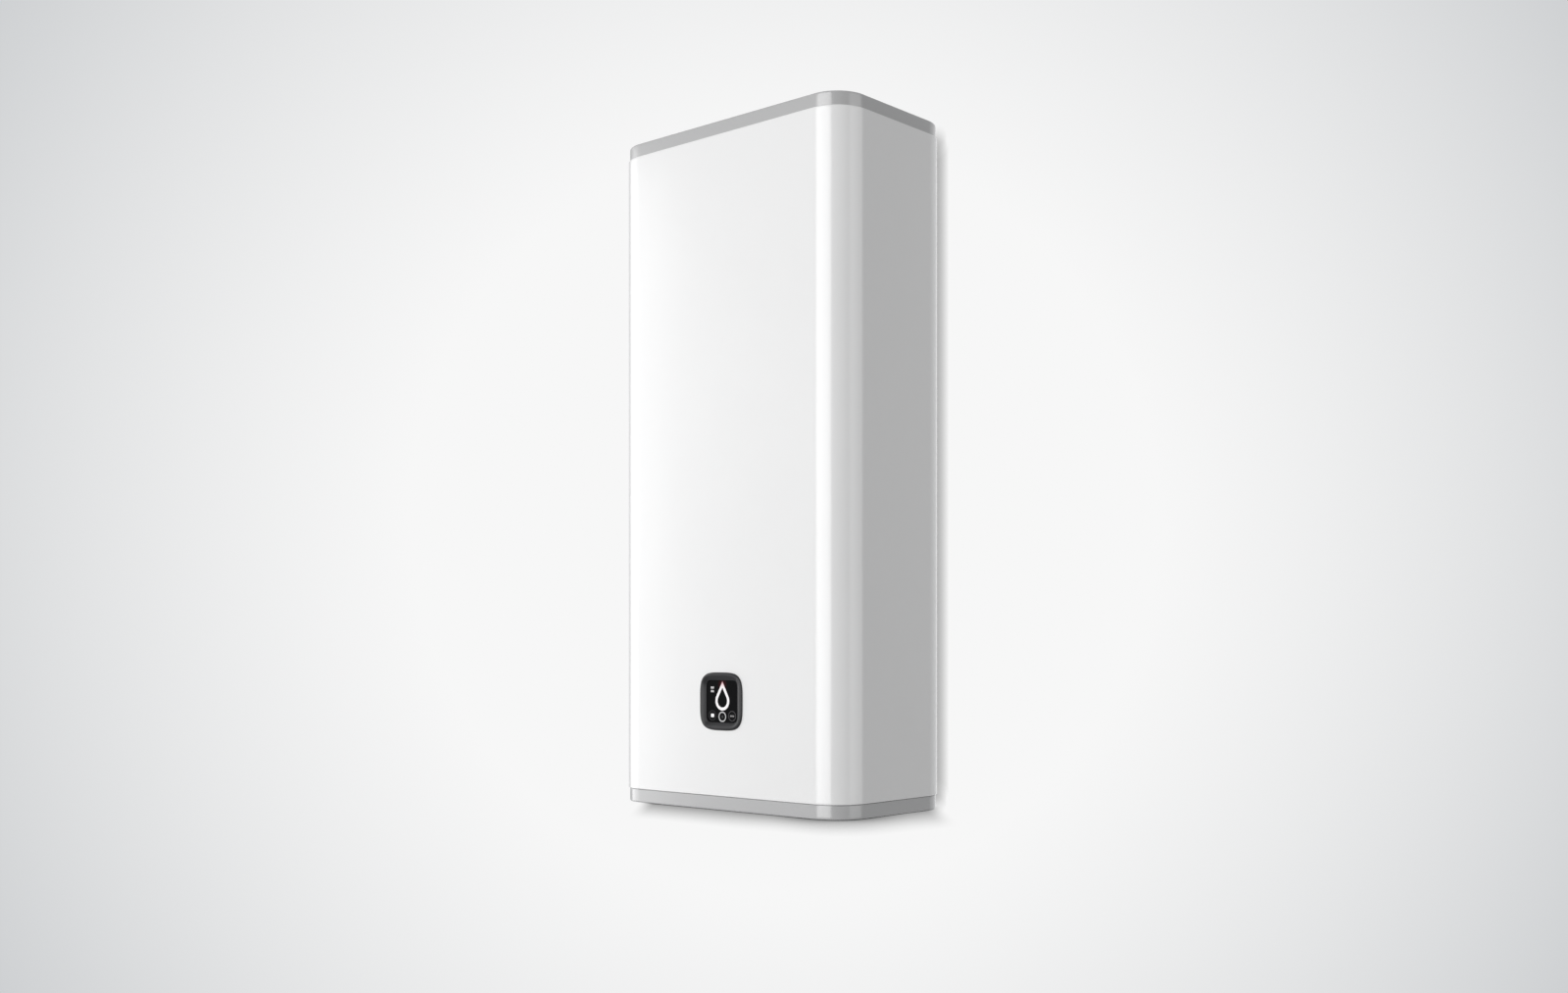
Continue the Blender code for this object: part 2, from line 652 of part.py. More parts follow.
def tank(name, side, base, material):
    """An enamelled tank with its neck ring, bracket bosses, pipe hole and transfer hole."""
    x = side * TANK_SIDE
    body = piece(name + "_tank", turned(tank_profile(), LARGE_STEPS), base, material, (x, 0, 0))
    bolts = [(bx, bz) for bx, bz in bracket_bolt_places() if bx * side > 0]
    boss_start = TANK_RADIUS - TANK_WALL / 2 - BOSS_RADIUS ** 2 / TANK_RADIUS / 2
    boss_end = REAR_INSIDE - GAP
    bosses = rods([(bx, boss_start, bz) for bx, bz in bolts], "Y", boss_end - boss_start, BOSS_RADIUS)
    combine(body, helper(name + "_bosses", bosses, base), "UNION")
    bore_start = boss_end - BOSS_BORE_DEPTH
    bores = rods([(bx, bore_start, bz) for bx, bz in bolts], "Y", BOSS_BORE_DEPTH + OVERRUN, BOSS_BORE)
    combine(body, helper(name + "_boss_bores", bores, base))
    starts = [(bx, by, RING_BOTTOM - OVERRUN) for bx, by in flange_bolt_places(side)]
    ring_holes = rods(starts, "Z", RING_THICK + 2 * OVERRUN, M6_RADIUS + GAP, SMALL_STEPS)
    combine(body, helper(name + "_ring_holes", ring_holes, base))
    pipe_hole = rods([(side * PIPE_SPACING / 2, PIPE_BACK, FOAM_BOTTOM)], "Z", DOME_HEIGHT + OVERRUN,
                     PIPE_RADIUS + GAP)
    combine(body, helper(name + "_pipe_hole", pipe_hole, base))
    start = (side * TRANSFER_SPACING / 2, 0, TANK_TOP_SEAM + DOME_HEIGHT / 2)
    transfer_hole = rods([start], "Z", DOME_HEIGHT, TRANSFER_RADIUS + GAP)
    combine(body, helper(name + "_transfer_hole", transfer_hole, base))
    return body


def insulation_foam(base, material):
    """The foam block round both tanks, open at the necks, the pipes and the panel's pocket."""
    rings = case_rings(((SHEET + GAP, FOAM_BOTTOM), (SHEET + GAP, FOAM_TOP)))
    foam = piece("insulation_foam", loft(rings), base, material)
    back = block((-CASE_WIDTH, REAR_INSIDE - GAP, 0), (CASE_WIDTH, CASE_DEPTH, CASE_HEIGHT))
    combine(foam, helper("foam_back_cut", back, base))
    radius = TANK_RADIUS + GAP
    height = DOME_HEIGHT + GAP
    neck = NECK_RADIUS + GAP
    profile = [(0, TANK_TOP_SEAM + height)] + dome_points(radius, height, TANK_TOP_SEAM, 1, 0)[-2::-1]
    profile += dome_points(radius, height, TANK_BOTTOM_SEAM, -1, neck)
    profile += [(neck, FOAM_BOTTOM - OVERRUN), (0, FOAM_BOTTOM - OVERRUN)]
    for name, side in SIDES.items():
        space = helper("tank_space_" + name, turned(profile, LARGE_STEPS), base, (side * TANK_SIDE, 0, 0))
        combine(foam, space)
        pipe = rods([(side * PIPE_SPACING / 2, PIPE_BACK, FOAM_BOTTOM - OVERRUN)], "Z",
                    DOME_HEIGHT + OVERRUN, PIPE_RADIUS + GAP)
        combine(foam, helper("foam_pipe_way_" + name, pipe, base))
        start = (side * TRANSFER_SPACING / 2, 0, TANK_TOP_SEAM + DOME_HEIGHT / 2)
        transfer = rods([start], "Z", DOME_HEIGHT, TRANSFER_RADIUS + GAP)
        combine(foam, helper("foam_transfer_way_" + name, transfer, base))
        starts = [(bx, TANK_RADIUS / 2, bz) for bx, bz in bracket_bolt_places() if bx * side > 0]
        bosses = rods(starts, "Y", TANK_RADIUS, BOSS_RADIUS + GAP)
        combine(foam, helper("foam_boss_ways_" + name, bosses, base))
    half = HOUSING_HALF + GAP
    pocket = loft(panel_rings(((half, WINDOW_POWER, -OVERRUN), (half, WINDOW_POWER, HOUSING_DEPTH + GAP))))
    combine(foam, helper("panel_pocket", pocket, base, (0, FRONT, PANEL_HEIGHT)))
    channel = block((-LEAD_CHANNEL_WIDTH / 2, FRONT + HOUSING_DEPTH - OVERRUN, FOAM_BOTTOM - OVERRUN),
                    (LEAD_CHANNEL_WIDTH / 2, FRONT + HOUSING_DEPTH + LEAD_CHANNEL_DEPTH, PANEL_HEIGHT))
    combine(foam, helper("lead_channel", channel, base))
    return foam


# Pipes

def hollow(outer, bore, low, high):
    """A turned tube's closed profile."""
    return ((outer, high), (outer, low), (bore, low), (bore, high))


def tube_rings(path, radius, steps=ROUND_STEPS):
    """Rings square to a path that lies in a plane y = 0."""
    rings = []
    for i, (x, z) in enumerate(path):
        before = Vector(path[max(i - 1, 0)])
        after = Vector(path[min(i + 1, len(path) - 1)])
        along = (after - before).normalized()
        ring = []
        for across, out in circle(radius, steps):
            ring.append((x - out * along.y, across, z + out * along.x))
        rings.append(ring)
    return rings


def cold_inlet(base, steel, blue, plastic):
    place_at = (PIPE_SPACING / 2, PIPE_BACK, 0)
    pipe = turned(hollow(PIPE_RADIUS, PIPE_BORE, PIPE_END, COLD_PIPE_TOP), wrap=True)
    piece("cold_inlet_pipe", pipe, base, steel, place_at)
    high = BOTTOM_FLOOR - GAP
    collar = turned(hollow(COLLAR_RADIUS, PIPE_RADIUS + GAP, high - COLLAR_HEIGHT, high), wrap=True)
    piece("cold_inlet_ring", collar, base, blue, place_at)
    inner = PIPE_RADIUS + GAP
    outer = inner + DIFFUSER_WALL
    low = COLD_PIPE_TOP - DIFFUSER_ENGAGED
    top = low + DIFFUSER_HEIGHT
    profile = ((0, top), (outer, top), (outer, low), (inner, low), (inner, top - DIFFUSER_WALL),
               (0, top - DIFFUSER_WALL))
    diffuser = piece("cold_inlet_diffuser", turned(profile), base, plastic, place_at)
    half = DIFFUSER_SLOT / 2
    reach = outer + OVERRUN
    for kind, (dx, dy) in (("across", (reach, half)), ("along", (half, reach))):
        slot = block((-dx, -dy, COLD_PIPE_TOP + DIFFUSER_WALL), (dx, dy, top - 2 * DIFFUSER_WALL))
        combine(diffuser, helper("diffuser_slot_" + kind, slot, base, place_at))


def hot_outlet(base, steel, red):
    """The riser that draws hot water from the top of the left tank, thick below as a threaded pipe end."""
    place_at = (-PIPE_SPACING / 2, PIPE_BACK, 0)
    profile = ((RISER_RADIUS, RISER_TOP), (RISER_RADIUS, RISER_STEP), (PIPE_RADIUS, RISER_STEP),
               (PIPE_RADIUS, PIPE_END), (RISER_BORE, PIPE_END), (RISER_BORE, RISER_TOP))
    piece("hot_outlet_pipe", turned(profile, wrap=True), base, steel, place_at)
    high = BOTTOM_FLOOR - GAP
    collar = turned(hollow(COLLAR_RADIUS, PIPE_RADIUS + GAP, high - COLLAR_HEIGHT, high), wrap=True)
    piece("hot_outlet_ring", collar, base, red, place_at)


def transfer(base, steel, plastic):
    """The bridge from the right tank's top to the left tank's, and the dip tube that leads down from it."""
    side = TRANSFER_SPACING / 2
    offset = TANK_SIDE - side
    dome = TANK_TOP_SEAM + DOME_HEIGHT * math.sqrt(1 - (offset / TANK_RADIUS) ** 2)
    low = dome - TRANSFER_REACH
    path = [(-side, low)]
    for step in range(TRANSFER_STEPS + 1):
        turn = math.pi - QUARTER * step / TRANSFER_STEPS
        path.append((-side + TRANSFER_BEND + TRANSFER_BEND * math.cos(turn),
                     TRANSFER_TOP - TRANSFER_BEND + TRANSFER_BEND * math.sin(turn)))
    path += [(-x, z) for x, z in path[::-1]]
    rings = tube_rings(path, TRANSFER_RADIUS) + tube_rings(path, TRANSFER_BORE)[::-1]
    piece("transfer_pipe", loft(rings, wrap=True), base, steel)
    outer = TRANSFER_BORE - GAP
    tube = turned(hollow(outer, outer - DIP_WALL, DIP_BOTTOM, low + DIP_ENGAGED), wrap=True)
    piece("transfer_dip_tube", tube, base, plastic, (-side, 0, 0))


# Flanges with their heating parts

def hex_bolt(across, head, radius, length):
    """A hexagon bolt along +Z with the underside of its head at height 0."""
    body = hexagon(across)
    shank = circle(radius, SMALL_STEPS)
    stack = ((body, -head), (body, 0), (shank, 0), (shank, length))
    return loft([[(x, y, z) for x, y in outline] for outline, z in stack])


def heating_element(name, x, base, material):
    """A hairpin rod whose two legs pass down through the flange plate."""
    low = PLATE_BOTTOM - TERMINAL_DROP
    bend = ELEMENT_TOP - ELEMENT_HALF_SPAN
    route = [(-ELEMENT_HALF_SPAN, ELEMENT_SHIFT, low)]
    for step in range(BEND_STEPS + 1):
        turn = math.pi * (1 - step / BEND_STEPS)
        height = bend + ELEMENT_HALF_SPAN * math.sin(turn)
        route.append((ELEMENT_HALF_SPAN * math.cos(turn), ELEMENT_SHIFT, height))
    route.append((ELEMENT_HALF_SPAN, ELEMENT_SHIFT, low))
    element = wire(name + "_heating_element", route, ELEMENT_RADIUS, base, material)
    element.location = (x, 0, 0)


def flange_set(name, side, base, finishes):
    """Gasket, plate, element, anode, sensor tube and bolts under one tank's neck."""
    x = side * TANK_SIDE
    bolts = flange_bolt_places(side)
    gasket_low = PLATE_TOP + GAP
    profile = hollow(RING_RADIUS, NECK_BORE, gasket_low, gasket_low + GASKET_THICK)
    seal = turned(profile, LARGE_STEPS, wrap=True)
    gasket = piece(name + "_flange_gasket", seal, base, finishes["rubber"], (x, 0, 0))
    gasket_starts = [(bx, by, gasket_low - OVERRUN) for bx, by in bolts]
    gasket_holes = rods(gasket_starts, "Z", GASKET_THICK + 2 * OVERRUN, M6_RADIUS + GAP, SMALL_STEPS)
    combine(gasket, helper(name + "_gasket_holes", gasket_holes, base))
    profile = ((0, PLATE_TOP), (RING_RADIUS, PLATE_TOP), (RING_RADIUS, PLATE_BOTTOM), (0, PLATE_BOTTOM))
    plate = piece(name + "_flange_plate", turned(profile, LARGE_STEPS), base, finishes["plate"], (x, 0, 0))
    through = PLATE_THICK + 2 * OVERRUN
    low = PLATE_BOTTOM - OVERRUN
    plate_holes = rods([(bx, by, low) for bx, by in bolts], "Z", through, M6_RADIUS + GAP, SMALL_STEPS)
    add_rod(plate_holes, (x - ELEMENT_HALF_SPAN, ELEMENT_SHIFT, low), "Z", through, ELEMENT_RADIUS + GAP)
    add_rod(plate_holes, (x + ELEMENT_HALF_SPAN, ELEMENT_SHIFT, low), "Z", through, ELEMENT_RADIUS + GAP)
    add_rod(plate_holes, (x, ANODE_SHIFT, low), "Z", through, ANODE_STUD + GAP)
    add_rod(plate_holes, (x, SENSOR_SHIFT, low), "Z", through, SENSOR_RADIUS + GAP)
    combine(plate, helper(name + "_plate_holes", plate_holes, base))
    heating_element(name, x, base, finishes["element"])
    end = PLATE_BOTTOM - TERMINAL_DROP
    anode = ((0, ANODE_TOP), (ANODE_RADIUS, ANODE_TOP), (ANODE_RADIUS, PLATE_TOP + GAP),
             (ANODE_STUD, PLATE_TOP + GAP), (ANODE_STUD, end), (0, end))
    piece(name + "_anode", turned(anode), base, finishes["anode"], (x, ANODE_SHIFT, 0))
    wall = SENSOR_RADIUS - SENSOR_BORE
    mouth = PLATE_BOTTOM - wall
    sensor = ((0, SENSOR_TOP), (SENSOR_RADIUS, SENSOR_TOP), (SENSOR_RADIUS, mouth), (SENSOR_BORE, mouth),
              (SENSOR_BORE, SENSOR_TOP - wall), (0, SENSOR_TOP - wall))
    piece(name + "_sensor_tube", turned(sensor), base, finishes["steel"], (x, SENSOR_SHIFT, 0))
    length = RING_BOTTOM + RING_THICK - PLATE_BOTTOM
    for number, (bx, by) in enumerate(bolts, 1):
        bolt = hex_bolt(M6_ACROSS, M6_HEAD, M6_RADIUS, length)
        piece(f"{name}_flange_bolt_{number}", bolt, base, finishes["zinc"], (bx, by, PLATE_BOTTOM - GAP))


# Wall brackets

def keyhole_outline():
    """A round entry with a slot that rises from it and ends in a half circle."""
    meet = math.acos(KEYHOLE_SLOT / KEYHOLE_RADIUS)
    points = []
    for step in range(SMALL_STEPS + 1):
        turn = math.pi - meet + (math.pi + 2 * meet) * step / SMALL_STEPS
        points.append((KEYHOLE_RADIUS * math.cos(turn), KEYHOLE_RADIUS * math.sin(turn) - KEYHOLE_DROP))
    for step in range(BEND_STEPS + 1):
        turn = math.pi * step / BEND_STEPS
        points.append((KEYHOLE_SLOT * math.cos(turn), KEYHOLE_RISE + KEYHOLE_SLOT * math.sin(turn)))
    return points


def wall_bracket(name, height, base, material):
    """A hat-shaped steel bar: its web lies on the wall, its flanges on the rear panel."""
    sheet = BRACKET_SHEET
    near = -BRACKET_DEPTH
    web = WEB_HALF_HEIGHT
    wing = FLANGE_HALF_HEIGHT
    section = ((near, -wing), (near + sheet, -wing), (near + sheet, -web), (0, -web), (0, web),
               (near + sheet, web), (near + sheet, wing), (near, wing), (near, web - sheet),
               (-sheet, web - sheet), (-sheet, sheet - web), (near, sheet - web))
    rings = [[(x, y, z) for y, z in section] for x in (-BRACKET_WIDTH / 2, BRACKET_WIDTH / 2)]
    place_at = (0, WALL_PLANE, height)
    bracket = piece(name + "_wall_bracket", loft(rings), base, material, place_at)
    for side_name, side in SIDES.items():
        x = side * KEYHOLE_SPACING / 2
        rings = [[(x + dx, y, z) for dx, z in keyhole_outline()] for y in (-sheet - OVERRUN, OVERRUN)]
        combine(bracket, helper(name + "_keyhole_" + side_name, loft(rings), base, place_at))
    starts = [(side * TANK_SIDE, near - OVERRUN, BRACKET_BOLT_LIFT) for side in SIDES.values()]
    holes = rods(starts, "Y", sheet + 2 * OVERRUN, M8_RADIUS + GAP)
    combine(bracket, helper(name + "_bracket_holes", holes, base, place_at))


def bracket_bolts(base, material):
    seat = WALL_PLANE - BRACKET_DEPTH + BRACKET_SHEET + GAP
    names = ("upper_bolt_left", "upper_bolt_right", "lower_bolt_left", "lower_bolt_right")
    for name, (x, height) in zip(names, bracket_bolt_places()):
        shape = hex_bolt(M8_ACROSS, M8_HEAD, M8_RADIUS, M8_LENGTH)
        bolt = piece(name, shape, base, material, (x, seat, height))
        bolt.rotation_euler = (QUARTER, 0, 0)


# Parts in the service space

def board_top():
    return FLOOR_TOP + GAP + TRAY_WALL + BOARD_LIFT + BOARD_THICK


def power_board(base, plastic, laminate):
    """The open tray on the bottom cap's floor, with posts that carry the board and its relays."""
    low = FLOOR_TOP + GAP
    half_x = TRAY_LENGTH / 2
    half_y = TRAY_WIDTH / 2
    place_at = (0, TRAY_MIDDLE, 0)
    outside = block((-half_x, -half_y, low), (half_x, half_y, low + TRAY_HEIGHT))
    tray = piece("power_board_tray", outside, base, plastic, place_at)
    inner_x = half_x - TRAY_WALL
    inner_y = half_y - TRAY_WALL
    inside = block((-inner_x, -inner_y, low + TRAY_WALL), (inner_x, inner_y, low + TRAY_HEIGHT + OVERRUN))
    combine(tray, helper("tray_inside", inside, base, place_at))
    under = board_top() - BOARD_THICK
    post = BOARD_LIFT / 2
    starts = [(sx * (inner_x - 2 * post), sy * (inner_y - 2 * post), low + TRAY_WALL / 2)
              for sx in SIDES.values() for sy in SIDES.values()]
    posts = rods(starts, "Z", under - GAP - low - TRAY_WALL / 2, post, SMALL_STEPS)
    combine(tray, helper("tray_posts", posts, base, place_at), "UNION")
    edge_x = inner_x - GAP
    edge_y = inner_y - GAP
    plate = block((-edge_x, -edge_y, under), (edge_x, edge_y, board_top()))
    board = piece("power_board", plate, base, laminate, place_at)
    for name, side in SIDES.items():
        x = side * TRAY_LENGTH / 4
        relay = block((x - RELAY_LENGTH / 2, -RELAY_WIDTH / 2, board_top() - BOARD_THICK / 2),
                      (x + RELAY_LENGTH / 2, RELAY_WIDTH / 2, board_top() + RELAY_HEIGHT))
        combine(board, helper("relay_" + name, relay, base, place_at), "UNION")


def safety_cutout(base, plastic, red):
    """The thermal cut-out's box, with a reset button that is pushed towards the wall."""
    low = FLOOR_TOP + GAP
    half_y = CUTOUT_WIDTH / 2
    place_at = (0, CUTOUT_MIDDLE, 0)
    box = block((-CUTOUT_LENGTH / 2, -half_y, low), (CUTOUT_LENGTH / 2, half_y, low + CUTOUT_HEIGHT))
    body = piece("safety_cutout", box, base, plastic, place_at)
    middle = low + CUTOUT_HEIGHT / 2
    bore = rods([(0, -half_y - OVERRUN, middle)], "Y", OVERRUN + RESET_BORE_DEPTH, RESET_STEM + GAP)
    combine(body, helper("reset_bore", bore, base, place_at))
    back = RESET_TRAVEL + GAP
    profile = ((0, RESET_HEAD + back), (RESET_RADIUS, RESET_HEAD + back), (RESET_RADIUS, back),
               (RESET_STEM, back), (RESET_STEM, back - RESET_BORE_DEPTH), (0, back - RESET_BORE_DEPTH))
    button = piece("reset_button", turned(profile), base, red, (0, CUTOUT_MIDDLE - half_y, middle))
    button.rotation_euler = (QUARTER, 0, 0)


def terminal_block(base, material):
    low = FLOOR_TOP + GAP
    half_x = TERMINAL_LENGTH / 2
    half_y = TERMINAL_WIDTH / 2
    place_at = (TERMINAL_SIDE, TERMINAL_MIDDLE, 0)
    box = block((-half_x, -half_y, low), (half_x, half_y, low + TERMINAL_HEIGHT))
    terminal = piece("terminal_block", box, base, material, place_at)
    depth = TERMINAL_HEIGHT / 2
    starts = [(pole * TERMINAL_LENGTH / 3, 0, low + TERMINAL_HEIGHT - depth) for pole in (-1, 0, 1)]
    holes = rods(starts, "Z", depth + OVERRUN, TERMINAL_WIDTH / 6, SMALL_STEPS)
    combine(terminal, helper("terminal_holes", holes, base, place_at))


def cable_gland(base, material):
    """A hexagon gland under the floor with its threaded shank through it."""
    seat = BOTTOM_FLOOR - GAP
    low = seat - GLAND_DROP
    high = FLOOR_TOP + GLAND_RISE
    body = hexagon(2 * GLAND_RADIUS * math.cos(math.pi / 6))
    shank = circle(GLAND_SHANK, SMALL_STEPS)
    bore = circle(GLAND_BORE, SMALL_STEPS)
    stack = ((body, low), (body, seat), (shank, seat), (shank, high), (bore, high), (bore, low))
    rings = [[(x, y, z) for x, y in outline] for outline, z in stack]
    piece("cable_gland", loft(rings, wrap=True), base, material, (GLAND_SIDE, GLAND_BACK, 0))


# Control panel

def panel_place():
    return (0, FRONT, PANEL_HEIGHT)


def panel_bezel(base, material):
    """A bowed square dish: round flank, crest, slope to the rim over the window, and a collar behind."""
    across = BEZEL_HALF - BEZEL_CREST
    rise = BEZEL_RISE - GAP
    stack = [(BEZEL_HALF, BEZEL_POWER, -GAP)]
    for step in (1, 2, 3):
        turn = QUARTER * step / 3
        share = 1 - math.cos(turn)
        power = BEZEL_POWER + (BEZEL_CREST_POWER - BEZEL_POWER) * share
        stack.append((BEZEL_CREST + across * math.cos(turn), power, -GAP - rise * math.sin(turn)))
    back = RIM_SINK + RIM_THICK
    stack += [
        ((BEZEL_CREST + RIM_HALF) / 2, (BEZEL_CREST_POWER + WINDOW_POWER) / 2, (RIM_SINK - BEZEL_RISE) / 2),
        (RIM_HALF, WINDOW_POWER, RIM_SINK), (RIM_HALF, WINDOW_POWER, back),
        (COLLAR_INNER, WINDOW_POWER, back), (COLLAR_INNER, WINDOW_POWER, COLLAR_REACH),
        (COLLAR_OUTER, WINDOW_POWER, COLLAR_REACH),
        (COLLAR_OUTER, WINDOW_POWER, -GAP),
    ]
    piece("panel_bezel", loft(panel_rings(stack), wrap=True), base, material, panel_place())


def teardrop(radius):
    """A circle with two tangents that meet above it, at the drop's own half angle."""
    points = []
    for step in range(DROP_STEPS + 1):
        turn = math.pi - DROP_HALF_ANGLE + (math.pi + 2 * DROP_HALF_ANGLE) * step / DROP_STEPS
        points.append((radius * math.cos(turn), radius * math.sin(turn) + DROP_LIFT))
    points.append((0, radius / math.sin(DROP_HALF_ANGLE) + DROP_LIFT))
    return points


def drop_ring(grow, near, far):
    """The drop-shaped ring, its stroke grown by a clearance on both sides."""
    outer = teardrop(DROP_RADIUS + grow)
    inner = teardrop(DROP_RADIUS - DROP_STROKE - grow)
    stack = ((outer, near), (outer, far), (inner, far), (inner, near))
    return loft([[(x, y, z) for x, z in outline] for outline, y in stack], wrap=True)


def mark_blocks(grow, near, far):
    """The two indicator marks, one above the other, as separate blocks."""
    bm = bmesh.new()
    for sign in (-1, 1):
        z = MARK_LIFT + sign * MARK_PITCH / 2
        half_x = MARK_LENGTH / 2 + grow
        half_z = MARK_HEIGHT / 2 + grow
        add_block(bm, (-MARK_SIDE - half_x, near, z - half_z), (-MARK_SIDE + half_x, far, z + half_z))
    return bm


def button_places():
    return {
        "left": (-BUTTON_SPACING, -SIDE_BUTTON_DROP),
        "centre": (0, -CENTRE_BUTTON_DROP),
        "right": (BUTTON_SPACING, -SIDE_BUTTON_DROP),
    }


def panel_window(base, material):
    """The black window with a groove for the drop light and openings for the marks and the buttons."""
    back = WINDOW_SINK + WINDOW_THICK
    plate = loft(panel_rings(((WINDOW_HALF, WINDOW_POWER, WINDOW_SINK), (WINDOW_HALF, WINDOW_POWER, back))))
    window = piece("panel_window", plate, base, material, panel_place())
    groove = drop_ring(GAP, WINDOW_SINK - OVERRUN, WINDOW_SINK + DROP_DEPTH + GAP)
    combine(window, helper("drop_groove", groove, base, panel_place()))
    marks = mark_blocks(GAP, WINDOW_SINK - OVERRUN, back + OVERRUN)
    combine(window, helper("mark_openings", marks, base, panel_place()))
    starts = [(x, WINDOW_SINK - OVERRUN, z) for x, z in button_places().values()]
    holes = rods(starts, "Y", WINDOW_THICK + 2 * OVERRUN, BUTTON_RADIUS + GAP, LARGE_STEPS)
    combine(window, helper("button_holes", holes, base, panel_place()))


def panel_lights(base, material):
    near = WINDOW_SINK - BUTTON_PROUD
    piece("drop_light_guide", drop_ring(0, near, WINDOW_SINK + DROP_DEPTH), base, material, panel_place())
    half_x = MARK_LENGTH / 2 + MARK_BASE_MARGIN
    half_z = MARK_PITCH / 2 + MARK_HEIGHT / 2 + MARK_BASE_MARGIN
    plate = block((-MARK_SIDE - half_x, BUTTON_RIM_SINK, MARK_LIFT - half_z),
                  (-MARK_SIDE + half_x, BUTTON_RIM_SINK + MARK_BASE, MARK_LIFT + half_z))
    guide = piece("indicator_light_guide", plate, base, material, panel_place())
    pads = mark_blocks(0, near, BUTTON_RIM_SINK + MARK_BASE / 2)
    combine(guide, helper("indicator_pads", pads, base, panel_place()), "UNION")


def button_profile(face_radius, face_step):
    """A turned button along +Z, its front at height 0, with the rim behind the window and its stem."""
    rim = BUTTON_RIM_SINK - WINDOW_SINK + BUTTON_PROUD
    rim_back = rim + BUTTON_RIM_THICK
    stem = rim_back + BUTTON_STEM_LENGTH
    rim_radius = BUTTON_RADIUS + BUTTON_RIM
    front = [(0, 0), (face_radius, 0)]
    if face_step > 0:
        front += [(face_radius, -face_step), (BUTTON_RADIUS, -face_step)]
    return [*front, (BUTTON_RADIUS, -rim), (rim_radius, -rim), (rim_radius, -rim_back),
            (BUTTON_STEM, -rim_back), (BUTTON_STEM, -stem), (0, -stem)]


def panel_buttons(base, black, ring_finish):
    """Three round push buttons. The middle one carries a ring on a step round its face."""
    for name, (x, z) in button_places().items():
        centre = name == "centre"
        face = RING_STEP_RADIUS if centre else BUTTON_RADIUS
        profile = button_profile(face, RING_DEPTH + GAP if centre else 0)
        place_at = (x, FRONT + WINDOW_SINK - BUTTON_PROUD, PANEL_HEIGHT + z)
        button = piece(name + "_button", turned(profile, LARGE_STEPS), base, black, place_at)
        button.rotation_euler = (QUARTER, 0, 0)
        if centre:
            profile = hollow(BUTTON_RADIUS, RING_STEP_RADIUS + GAP, -RING_DEPTH, 0)
            ring = turned(profile, LARGE_STEPS, wrap=True)
            trim = piece("centre_button_ring", ring, base, ring_finish, place_at)
            trim.rotation_euler = (QUARTER, 0, 0)


def display_board(base, material):
    """The panel's circuit board, with a switch under each button."""
    rings = panel_rings(((WINDOW_HALF, WINDOW_POWER, DISPLAY_SINK),
                         (WINDOW_HALF, WINDOW_POWER, DISPLAY_SINK + BOARD_THICK)))
    board = piece("display_board", loft(rings), base, material, panel_place())
    stem_end = BUTTON_RIM_SINK + BUTTON_RIM_THICK + BUTTON_STEM_LENGTH
    near = stem_end + BUTTON_TRAVEL + GAP
    switches = bmesh.new()
    for x, z in button_places().values():
        add_block(switches, (x - SWITCH_HALF, near, z - SWITCH_HALF),
                  (x + SWITCH_HALF, DISPLAY_SINK + BOARD_THICK / 2, z + SWITCH_HALF))
    combine(board, helper("board_switches", switches, base, panel_place()), "UNION")


def panel_housing(base, material):
    """The tray behind the jacket that clips round the bezel's collar and carries the board on posts."""
    inner = HOUSING_HALF - HOUSING_WALL
    rim = SHEET + GAP
    floor = HOUSING_DEPTH - HOUSING_WALL
    stack = ((inner, WINDOW_POWER, floor), (inner, WINDOW_POWER, rim), (HOUSING_HALF, WINDOW_POWER, rim),
             (HOUSING_HALF, WINDOW_POWER, HOUSING_DEPTH))
    housing = piece("panel_housing", loft(panel_rings(stack)), base, material, panel_place())
    start = DISPLAY_SINK + BOARD_THICK + GAP
    starts = [(sx * HOUSING_POST_SPREAD, start, sz * HOUSING_POST_SPREAD)
              for sx in SIDES.values() for sz in SIDES.values()]
    posts = rods(starts, "Y", floor + HOUSING_WALL / 2 - start, HOUSING_POST, SMALL_STEPS)
    combine(housing, helper("housing_posts", posts, base, panel_place()), "UNION")
    hole = rods([(0, floor - OVERRUN, -LEAD_HOLE_DROP)], "Y", HOUSING_WALL + 2 * OVERRUN, LEAD_HOLE)
    combine(housing, helper("lead_hole", hole, base, panel_place()))


# Wiring, held all the way between the boards and the flanges

def display_lead(base, material):
    """From the display board's back, out of the housing and down the foam's channel to the power board."""
    behind = FRONT + HOUSING_DEPTH + LEAD_CHANNEL_DEPTH / 2
    height = PANEL_HEIGHT - LEAD_HOLE_DROP
    start = FRONT + DISPLAY_SINK + BOARD_THICK + GAP
    drop = LEAD_CHANNEL_DEPTH
    low = board_top()
    route = ((0, start, height), (0, FRONT + HOUSING_DEPTH - HOUSING_WALL, height),
             (0, behind, height - drop / 2), (0, behind, FOAM_BOTTOM), (0, behind, (FOAM_BOTTOM + low) / 2),
             (0, behind, low + GAP))
    wire("display_lead", smooth_route(route), LEAD_RADIUS, base, material)


def wiring_loom(name, side, base, material):
    """From the power board, over the tray's wall, to the outer leg of that tank's element."""
    x_end = side * (TANK_SIDE + ELEMENT_HALF_SPAN)
    z_end = PLATE_BOTTOM - TERMINAL_DROP - GAP
    x_start = side * (TRAY_LENGTH / 2 - RELAY_WIDTH / 2)
    lift = FLOOR_TOP + TRAY_HEIGHT + 3 * LOOM_RADIUS
    route = ((x_start, TRAY_MIDDLE, board_top() + GAP), (x_start, TRAY_MIDDLE, lift - LOOM_RADIUS),
             ((x_start + x_end) / 2, TRAY_MIDDLE / 2, lift), (x_end, ELEMENT_SHIFT, (lift + z_end) / 2),
             (x_end, ELEMENT_SHIFT, z_end))
    wire(name + "_wiring_loom", smooth_route(route), LOOM_RADIUS, base, material)


